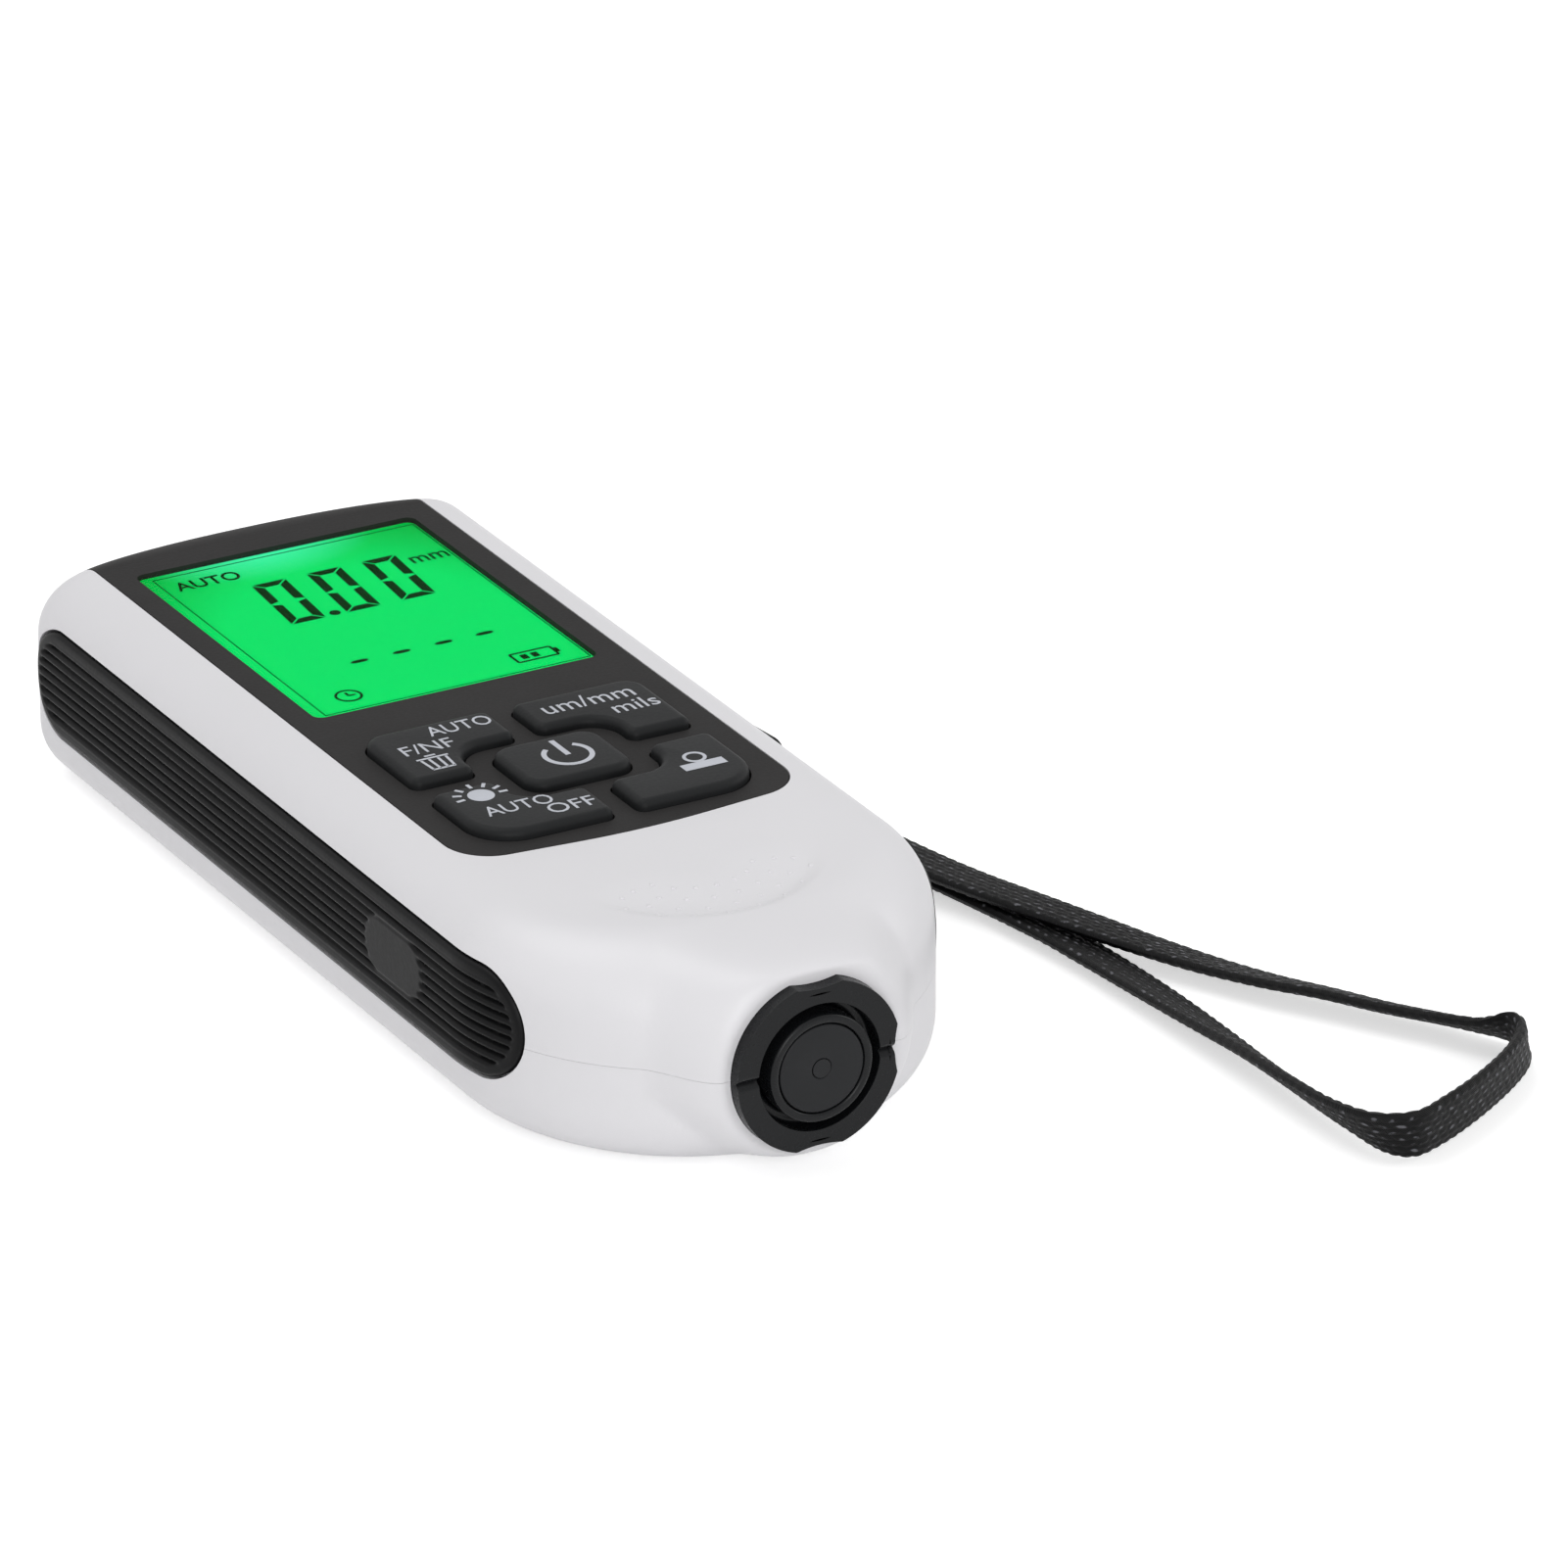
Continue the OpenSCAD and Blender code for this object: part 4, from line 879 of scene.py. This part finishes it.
tip = turned("sensing_face", softened(tip_profile, TIP_SOFT), filled_nylon)
dress(tip, "probe", "probe_plastic", "probe_tip")


# Display: lit glass, and segments between it and the lens
LCD_INSET = 0.15
lcd_corners = box_corners(WINDOW_W - 2 * LCD_INSET, WINDOW_L - 2 * LCD_INSET, WINDOW_R - LCD_INSET, WINDOW_Y)
lcd = prism("display_glass", rounded(lcd_corners), low("lcd_glass").z, LCD_TOP, lit_display())
dress(lcd, "case", "display_green", "lcd_glass")

# Places that the display picture and the print on the keys are measured from, and their thickness
PICTURE_AT = (0.5, WINDOW_Y, LCD_TOP + 0.01)
PRINT_AT = (0.5, WINDOW_Y + 0.2, KEY_TOP + 0.004)
PRINT_T = 0.02


def flat(name, outlines, at, material):
    """Thin flat print: one plate for each outline."""
    x, y, z = at
    return joined(name, [prism(f"{name}_{i}", [(x + px, y + py) for px, py in outline], z, z + PRINT_T, material)
                         for i, outline in enumerate(outlines)])


def stroke(a, b, width):
    (x0, y0), (x1, y1) = a, b
    size = hypot(x1 - x0, y1 - y0)
    nx, ny = -(y1 - y0) / size * width / 2, (x1 - x0) / size * width / 2
    return [(x0 - nx, y0 - ny), (x1 - nx, y1 - ny), (x1 + nx, y1 + ny), (x0 + nx, y0 + ny)]


def box_lines(x0, x1, y0, y1, width):
    corners = [(x0, y0), (x1, y0), (x1, y1), (x0, y1)]
    return [stroke(a, b, width) for a, b in zip(corners, corners[1:] + corners[:1])]


def arc_band(x, y, r, width, first, last, steps=40):
    """Band along an arc, from one angle to another in degrees."""
    angles = [radians(first + (last - first) * k / steps) for k in range(steps + 1)]
    outside, inside = ([(x + (r + side) * cos(a), y + (r + side) * sin(a)) for a in angles]
                       for side in (width / 2, -width / 2))
    return outside + inside[::-1]


def circle_band(x, y, r, width):
    return [arc_band(x, y, r, width, 0, 180), arc_band(x, y, r, width, 180, 360)]


def lettering(name, words, box, at, material, bold=0.0):
    """Words as a flat mesh that fills a box."""
    curve = bpy.data.curves.new(name, "FONT")
    curve.body, curve.size, curve.offset = words, 1.0, bold
    curve.extrude, curve.resolution_u = 0.01, 3
    text = add_object(name, curve)
    bpy.context.view_layer.update()
    mesh = bpy.data.meshes.new_from_object(text.evaluated_get(bpy.context.evaluated_depsgraph_get()))
    bpy.data.objects.remove(text)
    spots = np.array([v.co for v in mesh.vertices])
    lo, hi = spots.min(0), spots.max(0)
    x0, x1, y0, y1 = box
    start = np.array(at) + (x0, y0, 0)
    for v, spot in zip(mesh.vertices, spots):
        v.co = (start + (spot - lo) / (hi - lo) * (x1 - x0, y1 - y0, PRINT_T)) * MM
    paint(mesh, material)
    return add_object(name, mesh)


DIGIT_W, DIGIT_H, DIGIT_PITCH = 3.55, 9.9, 5.8
DIGIT_X, DIGIT_Y = -6.9, 2.4
SEGMENT_W, SEGMENT_GAP = 0.95, 0.14
DIGIT_SLANT = 0.075


def zero_digit(x, y):
    """Outlines of the six lit segments of one slanted zero."""
    w, h, s, g = DIGIT_W, DIGIT_H, SEGMENT_W, SEGMENT_GAP
    level = [(g, h), (w - g, h), (w - s - g, h - s), (s + g, h - s)]
    upright = [(0, h - g), (s, h - s - g), (s, h / 2 + s / 2), (0, h / 2 + g)]
    bars = [level, upright, [(w - px, py) for px, py in upright]]
    bars += [[(px, h - py) for px, py in bar] for bar in bars]
    return [[(x + px + DIGIT_SLANT * py, y + py) for px, py in bar] for bar in bars]


# Decimal point, and the row of dashes under the digits
POINT = (-2.15, 2.9, 0.55)
DASHES, DASH_Y, DASH_W, DASH_H, DASH_POWER, DASH_STEPS = (-5.3, -0.9, 3.5, 7.8), -8.15, 0.92, 0.3, 0.7, 24


def dash(x):
    """A short bar with rounded ends."""
    return [(x + DASH_W * copysign(abs(px) ** DASH_POWER, px), DASH_Y + DASH_H * py)
            for px, py in disc(0, 0, 1, DASH_STEPS)]


digits = [bar for i in range(3) for bar in zero_digit(DIGIT_X + i * DIGIT_PITCH, DIGIT_Y)]
digits += [disc(*POINT)] + [dash(x) for x in DASHES]

# Clock and battery signs, words and the frame round the picture
CLOCK, CLOCK_HANDS = (-9.8, -14.65, 1.2), ((0.0, 0.75), (0.7, 0.0))
BATTERY = (7.4, 11.6, -15.75, -13.75)
# The battery's two bars and its end, as place and width
BARS_LOW, BARS_HIGH, BARS = -15.25, -14.25, ((8.5, 0.7), (9.6, 0.7), (11.87, 0.4))
LINE, FRAME_LINE = 0.26, 0.12
MODE_BOX, UNIT_BOX = (-12.6, -5.9, 14.35, 16.35), (9.7, 13.6, 9.5, 11.0)
FRAME_BOX = (-13.7, 13.9, -17.6, 17.9)
icons = circle_band(*CLOCK, LINE) + box_lines(*BATTERY, LINE)
icons += [stroke(CLOCK[:2], (CLOCK[0] + x, CLOCK[1] + y), LINE) for x, y in CLOCK_HANDS]
icons += [stroke((x, BARS_LOW), (x, BARS_HIGH), width) for x, width in BARS]
picture = [flat("display_digits", digits, PICTURE_AT, segment_ink),
           flat("display_icons", icons, PICTURE_AT, segment_ink),
           lettering("display_mode_word", "AUTO", MODE_BOX, PICTURE_AT, segment_ink, bold=0.014),
           flat("display_frame_lines", box_lines(*FRAME_BOX, FRAME_LINE), PICTURE_AT, segment_pale),
           lettering("display_unit_word", "mm", UNIT_BOX, PICTURE_AT, segment_pale, bold=0.01)]
dress(joined("display_segments", picture), "case", "display_green")


# Print on the keys: words with their boxes, and signs
KEY_WORDS = {
    "key_mode": (("AUTO", (-8.9, -2.4, -29.6, -27.6)), ("F/NF", (-12.9, -7.7, -32.4, -30.4))),
    "key_units": (("um/mm", (2.65, 11.9, -30.5, -28.1)), ("mils", (8.4, 13.0, -33.3, -31.1))),
    "key_light": (("AUTO", (-12.5, -5.7, -47.6, -45.6)), ("OFF", (-7.2, -2.5, -49.8, -47.8)))}
# Bin: its level strokes as half width and height, and the tops of its slanted staves
BIN_X, BIN_LOW, BIN_HIGH, BIN_LINE = -11.0, -36.1, -33.9, 0.26
BIN_BARS = ((1.6, BIN_HIGH + 0.25), (0.55, BIN_HIGH + 0.75), (1.15, BIN_LOW))
BIN_STAVES, BIN_TAPER = (-1.25, -0.45, 0.45, 1.25), 0.85
# Power ring, half the angle of its gap, and its bar
POWER, POWER_LINE, POWER_GAP = (0.1, -39.0, 2.2), 0.5, 38
POWER_BAR, POWER_BAR_W = ((0.1, -39.1), (0.1, -35.7)), 0.55
# Sun: its disc, and the ends and angles of its rays
SUN, RAY_ENDS, RAY_W = (-11.0, -43.1, 1.25), (1.75, 2.6), 0.34
RAY_ANGLES = (-4, 24, 57, 92, 128, 158, 186)
# Zero: a ring over a bar
ZERO_RING, ZERO_LINE = (9.75, -45.2, 0.95), 0.34
ZERO_BAR, ZERO_BAR_W = ((7.6, -46.95), (11.9, -46.95)), 1.3


def sun_ray(angle):
    a = radians(angle)
    return stroke(*((SUN[0] + r * cos(a), SUN[1] + r * sin(a)) for r in RAY_ENDS), RAY_W)


key_signs = {
    "key_power": [arc_band(*POWER, POWER_LINE, 90 + POWER_GAP, 450 - POWER_GAP), stroke(*POWER_BAR, POWER_BAR_W)],
    "key_mode": [stroke((BIN_X - half, y), (BIN_X + half, y), BIN_LINE) for half, y in BIN_BARS]
    + [stroke((BIN_X + x, BIN_HIGH), (BIN_X + BIN_TAPER * x, BIN_LOW), BIN_LINE) for x in BIN_STAVES],
    "key_light": [disc(*SUN)] + [sun_ray(a) for a in RAY_ANGLES],
    "key_zero": circle_band(*ZERO_RING, ZERO_LINE) + [stroke(*ZERO_BAR, ZERO_BAR_W)]}
for name in KEY_NAMES:
    pieces = [lettering(f"{name}_words_{i}", words, box, PRINT_AT, key_ink)
              for i, (words, box) in enumerate(KEY_WORDS.get(name, ()))]
    if name in key_signs:
        pieces.append(flat(name + "_sign", key_signs[name], PRINT_AT, key_ink))
    dress(joined(name + "_print", pieces), name, "key_rubber")


# Raised dots on the near half of the thumb dish, in rows round its middle: radius, step in degrees and count
DOT_R, DOT_RISE = 0.25, 0.45
DOT_ROWS = ((11.5, 15.6, 8), (9.9, 15.4, 9), (8.2, 17.4, 8), (6.3, 18.0, 7))


def dot_places():
    places = []
    for row, step, count in DOT_ROWS:
        for k in range(count):
            a = radians(step * (k - (count - 1) / 2))
            places.append(moulded((row * sin(a), DISH_Y - row * cos(a), BODY_H)))
    return places


def dot_tree(material):
    """Half-sunk round dots at the points of a mesh."""
    tree = bpy.data.node_groups.new("dish_dots_tree", "GeometryNodeTree")
    tree.interface.new_socket("Geometry", in_out="INPUT", socket_type="NodeSocketGeometry")
    size = tree.interface.new_socket("Dot radius", in_out="INPUT", socket_type="NodeSocketFloat")
    tree.interface.new_socket("Geometry", in_out="OUTPUT", socket_type="NodeSocketGeometry")
    given = put(tree, "NodeGroupInput")
    ball = put(tree, "GeometryNodeMeshUVSphere", {"Segments": 12, "Rings": 8},
               {"Radius": given.outputs["Dot radius"]})
    spread = put(tree, "GeometryNodeInstanceOnPoints", {"Scale": (1.0, 1.0, DOT_RISE)},
                 {"Points": given.outputs["Geometry"], "Instance": ball.outputs["Mesh"]})
    real = put(tree, "GeometryNodeRealizeInstances", links={"Geometry": spread.outputs["Instances"]})
    painted = put(tree, "GeometryNodeSetMaterial", {"Material": material}, {"Geometry": real.outputs["Geometry"]})
    put(tree, "NodeGroupOutput", links={"Geometry": painted.outputs["Geometry"]})
    return tree, size.identifier


def dish_dots():
    mesh = bpy.data.meshes.new("dish_dots")
    mesh.from_pydata([tuple(c * MM for c in p) for p in dot_places()], [], [])
    piece = add_object("dish_dots", mesh)
    tree, radius = dot_tree(abs_white)
    dots = piece.modifiers.new("dots", "NODES")
    dots.node_group = tree
    dots[radius] = DOT_R * MM
    return smooth(bake(piece), 60)


dress(dish_dots(), "case", "case_white")


# Wrist strap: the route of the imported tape, in millimetres, with the roll of the tape in degrees
strap_route = [
    (22.2, 47.4, 2.2, 0), (27.2, 45.8, 1.3, 0), (29.8, 41, 0.8, 0), (31.2, 32, 0.8, 0),
    (32.2, 17.3, 1.5, 0), (34.2, 6, 1, 0), (36.6, -4, 1, 5), (38.9, -13, 1.2, 10),
    (41.4, -27.6, 1.4, 14), (42.3, -35, 1.4, 15), (42.8, -44.4, 1.6, 19), (43, -54, 1.9, 28),
    (43, -61, 2.2, 38), (43, -69, 2.4, 44), (43.2, -75.4, 2.6, 50), (44, -80, 2.8, 61),
    (46.6, -82, 2.8, 75), (50.2, -81, 2.8, 80), (55.2, -78.6, 2.8, 80), (60.4, -75.4, 2.8, 82),
    (64, -72.4, 2.8, 90), (65.4, -69.9, 2.8, 110), (65, -67.4, 2.5, 140), (63.7, -64.9, 2.2, 149),
    (61.8, -61.2, 1.9, 153), (59.2, -57.2, 1.8, 154), (56.2, -52.2, 1.8, 156), (53.1, -47.3, 1.7, 160),
    (50.2, -41.6, 1.6, 164), (47.4, -36, 1.8, 167), (44.5, -30.6, 2.3, 170), (41.7, -24.8, 2.7, 171),
    (38.8, -17, 2.8, 171), (36.6, -9, 2.8, 173), (33.8, 4, 2.8, 177), (32.2, 17.3, 3.1, 180),
    (31.6, 26, 2.8, 180), (30.4, 40, 2.9, 180), (27.2, 46, 3.6, 180), (22.2, 47.4, 4.2, 180)]
STRAP_STEPS = 26
STRAP_ACROSS = 22


def through(points, steps):
    """A smooth curve through the route's points."""
    pts = [Vector(p) for p in points]
    pts = [2 * pts[0] - pts[1]] + pts + [2 * pts[-1] - pts[-2]]
    out = []
    for i in range(1, len(pts) - 2):
        a, b, c, d = pts[i - 1:i + 3]
        for k in range(steps):
            t = k / steps
            out.append(0.5 * (2 * b + (c - a) * t + (2 * a - 5 * b + 4 * c - d) * t * t
                              + (3 * b - a - 3 * c + d) * t ** 3))
    out.append(pts[-2])
    return out


def braid_height(u, v):
    """Relief of the braid at u across the tape, from 0 to 1, and v along it in millimetres."""
    column, part = divmod(u * BRAID_COLUMNS, 1)
    lean = 1 if column % 2 else -1
    across = sin(pi * part)
    along = abs(sin(pi * (v / YARN_PITCH + lean * YARN_LEAN * part)))
    return across ** YARN_ROUND[0] * along ** YARN_ROUND[1]


def wrist_strap():
    line = through([p[:3] for p in strap_route], STRAP_STEPS)
    rolls = through([(p[3], 0, 0) for p in strap_route], STRAP_STEPS)
    points, crowns, uvs = [], [], []
    run = 0.0
    for i, p in enumerate(line):
        t = (line[min(i + 1, len(line) - 1)] - line[max(i - 1, 0)]).normalized()
        flat_side = Vector((t.y, -t.x, 0)).normalized()
        upright = flat_side.cross(t)
        roll = radians(rolls[i].x)
        side = flat_side * cos(roll) + upright * sin(roll)
        up = upright * cos(roll) - flat_side * sin(roll)
        run += (p - line[i - 1]).length if i else 0.0
        for face in (1, -1):
            for k in range(STRAP_ACROSS):
                u = k / (STRAP_ACROSS - 1) if face > 0 else 1 - k / (STRAP_ACROSS - 1)
                w = 2 * u - 1
                flatness = EDGE_SHARE + (1 - EDGE_SHARE) * sqrt(max(0.0, 1 - abs(w) ** EDGE_POWER))
                crown = braid_height(min(0.999, u), run)
                lift = STRAP_T / 2 * flatness - YARN_DEPTH * (1 - crown)
                points.append(p + side * (w * STRAP_W / 2) + up * (face * lift))
                crowns.append(crown)
                uvs.append((u * STRAP_W, run))
    faces = tube_faces(len(line), 2 * STRAP_ACROSS)
    piece = mesh_piece("wrist_strap_braid", points, faces, braided_nylon(), 0)
    mesh = piece.data
    # Crown height of the braid, which the material uses as the mask for its painted glints on the yarn tops
    shade = mesh.attributes.new("crown", "FLOAT", "POINT")
    shade.data.foreach_set("value", crowns)
    layer = mesh.uv_layers.new(name="braid")
    for loop in mesh.loops:
        layer.data[loop.index].uv = uvs[loop.vertex_index]
    smooth(piece, 60)
    return piece, line


strap, strap_line = wrist_strap()
dress(strap, "case", "strap_braid", "wrist_strap")


def soft_copy(node, name, bevel_mm, material, segments=2):
    """A CAD solid with its edges softened."""
    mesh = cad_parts[node].data.copy()
    tool = bmesh.new()
    tool.from_mesh(mesh)
    bmesh.ops.remove_doubles(tool, verts=tool.verts, dist=0.002 * MM)
    bmesh.ops.dissolve_limit(tool, angle_limit=radians(1), verts=tool.verts, edges=tool.edges)
    tool.to_mesh(mesh)
    tool.free()
    paint(mesh, material)
    piece = add_object(name, mesh)
    edge = piece.modifiers.new("soft_edge", "BEVEL")
    edge.width, edge.segments, edge.limit_method = bevel_mm * MM, segments, "ANGLE"
    edge.angle_limit = radians(40)
    return smooth(bake(piece), 50)


bead = dress(soft_copy("strap_bead", "strap_bead_soft", 0.5, epoxy_black, 4), "case", "black_plastic", "strap_bead")

dress(soft_copy("battery_door", "battery_door_soft", 0.2, abs_white), "battery_door", "case_white", "battery_door")

# The probe's spring, which shortens against the floor of its guide as the sleeve goes in, gets a mesh of its own
spring = soft_copy("probe_spring", "probe_spring_wire", 0.05, nickel_steel, 1)
dress(spring, "case", "spring_steel", "probe_spring")
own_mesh(spring)

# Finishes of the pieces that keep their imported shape
node_finish = {
    "display_lens": clear_acrylic(), "backlight": light_guide, "circuit_board": solder_mask,
    "controller_chip": epoxy_black, "buzzer": epoxy_black, "contact_pads": gold_flash, "keypad_mat": silicone,
    "probe_pole": iron_core, "probe_coil": copper_wire, "probe_guide": epoxy_black,
    "battery_left": cell_jacket, "battery_right": cell_jacket, "battery_contacts": nickel_steel,
    "battery_springs": nickel_steel, "case_screws": nickel_steel}
for node, material in node_finish.items():
    paint(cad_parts[node].data, material)


# Table, light and camera

# What the camera, a gloss or a clear piece sees of the table beyond its own light
TABLE_GLOW = 0.53
TABLE_SIZE, TABLE_DROP = 8000, -0.02
WORLD_LIGHT = 0.46
# Lamps: place, target and size in millimetres, power in watts
LAMPS = (("soft_top", (-150, 120, 620), (0, 0, 0), 420, 1.25),
         ("soft_front", (-260, -700, 260), (0, -20, 10), 360, 2.1),
         ("soft_right", (560, -160, 260), (0, 0, 10), 300, 0.5))


def seen_directly(tree):
    """1 for what the camera sees straight, in a gloss or through a clear piece, and 0 for light on the object."""
    path = put(tree, "ShaderNodeLightPath")
    mirrored = put(tree, "ShaderNodeMath", operation="MAXIMUM",
                   links={0: path.outputs["Is Glossy Ray"], 1: path.outputs["Is Transmission Ray"]})
    return put(tree, "ShaderNodeMath", operation="MAXIMUM",
               links={0: path.outputs["Is Camera Ray"], 1: mirrored.outputs["Value"]}).outputs["Value"]


def table():
    """A sheet of white paper: matt, with a faint fibre."""
    material, tree = blank("paper_sweep_white")
    paper = put(tree, "ShaderNodeBsdfDiffuse", {"Color": (0.86, 0.86, 0.86, 1)},
                {"Normal": bumps(tree, 0.1, 0.02, noise(tree, 1.5, 3.0))})
    glow = put(tree, "ShaderNodeMath", {1: TABLE_GLOW}, {0: seen_directly(tree)}, operation="MULTIPLY")
    lift = put(tree, "ShaderNodeEmission", {"Color": (1, 1, 1, 1)}, {"Strength": glow.outputs["Value"]})
    both = put(tree, "ShaderNodeAddShader", links={0: paper.outputs["BSDF"], 1: lift.outputs["Emission"]})
    put(tree, "ShaderNodeOutputMaterial", links={"Surface": both.outputs["Shader"]})
    corners = [(x, y, TABLE_DROP) for x, y, _ in box_corners(TABLE_SIZE, TABLE_SIZE, 0, 0)]
    floor = mesh_piece("table_top", corners, [(0, 1, 2, 3)], material)


def studio():
    world = bpy.data.worlds.new("studio")
    bpy.context.scene.world = world
    world.use_nodes = True
    tree = world.node_tree
    tree.nodes.clear()
    level = put(tree, "ShaderNodeMapRange", {"To Min": WORLD_LIGHT, "To Max": 1.0}, {"Value": seen_directly(tree)})
    sky = put(tree, "ShaderNodeBackground", {"Color": (1, 1, 1, 1)}, {"Strength": level.outputs["Result"]})
    put(tree, "ShaderNodeOutputWorld", links={"Surface": sky.outputs["Background"]})
    for name, place, target, size, power in LAMPS:
        lamp = bpy.data.lights.new(name, "AREA")
        lamp.shape, lamp.size, lamp.energy = "SQUARE", size * MM, power
        holder = add_object(name, lamp)
        holder.location = Vector(place) * MM
        holder.rotation_euler = (Vector(target) - Vector(place)).to_track_quat("-Z", "Y").to_euler()


# Camera of the photograph: place in millimetres, angles in degrees, focal length in pixels of the image
CAMERA_AT = (-438.35, -830.42, 442.63)
CAMERA_AZIMUTH, CAMERA_ELEVATION = -29.3735, 24.5179
FOCAL_PX, IMAGE_PX = 11500.0, 1601


def photograph_camera():
    camera = bpy.data.cameras.new("photograph_camera")
    camera.sensor_width = 36.0
    camera.lens = camera.sensor_width * FOCAL_PX / IMAGE_PX
    camera.clip_start, camera.clip_end = 0.05, 20.0
    a, e = radians(CAMERA_AZIMUTH), radians(CAMERA_ELEVATION)
    back = Vector((sin(a) * cos(e), -cos(a) * cos(e), sin(e)))
    right = Vector((cos(a), sin(a), 0))
    up = back.cross(right)
    holder = add_object("photograph_camera", camera)
    holder.matrix_world = Matrix.Translation(Vector(CAMERA_AT) * MM) @ Matrix((right, up, back)).transposed().to_4x4()
    bpy.context.scene.camera = holder


table()
studio()
photograph_camera()
bpy.context.scene.view_settings.view_transform = "Standard"
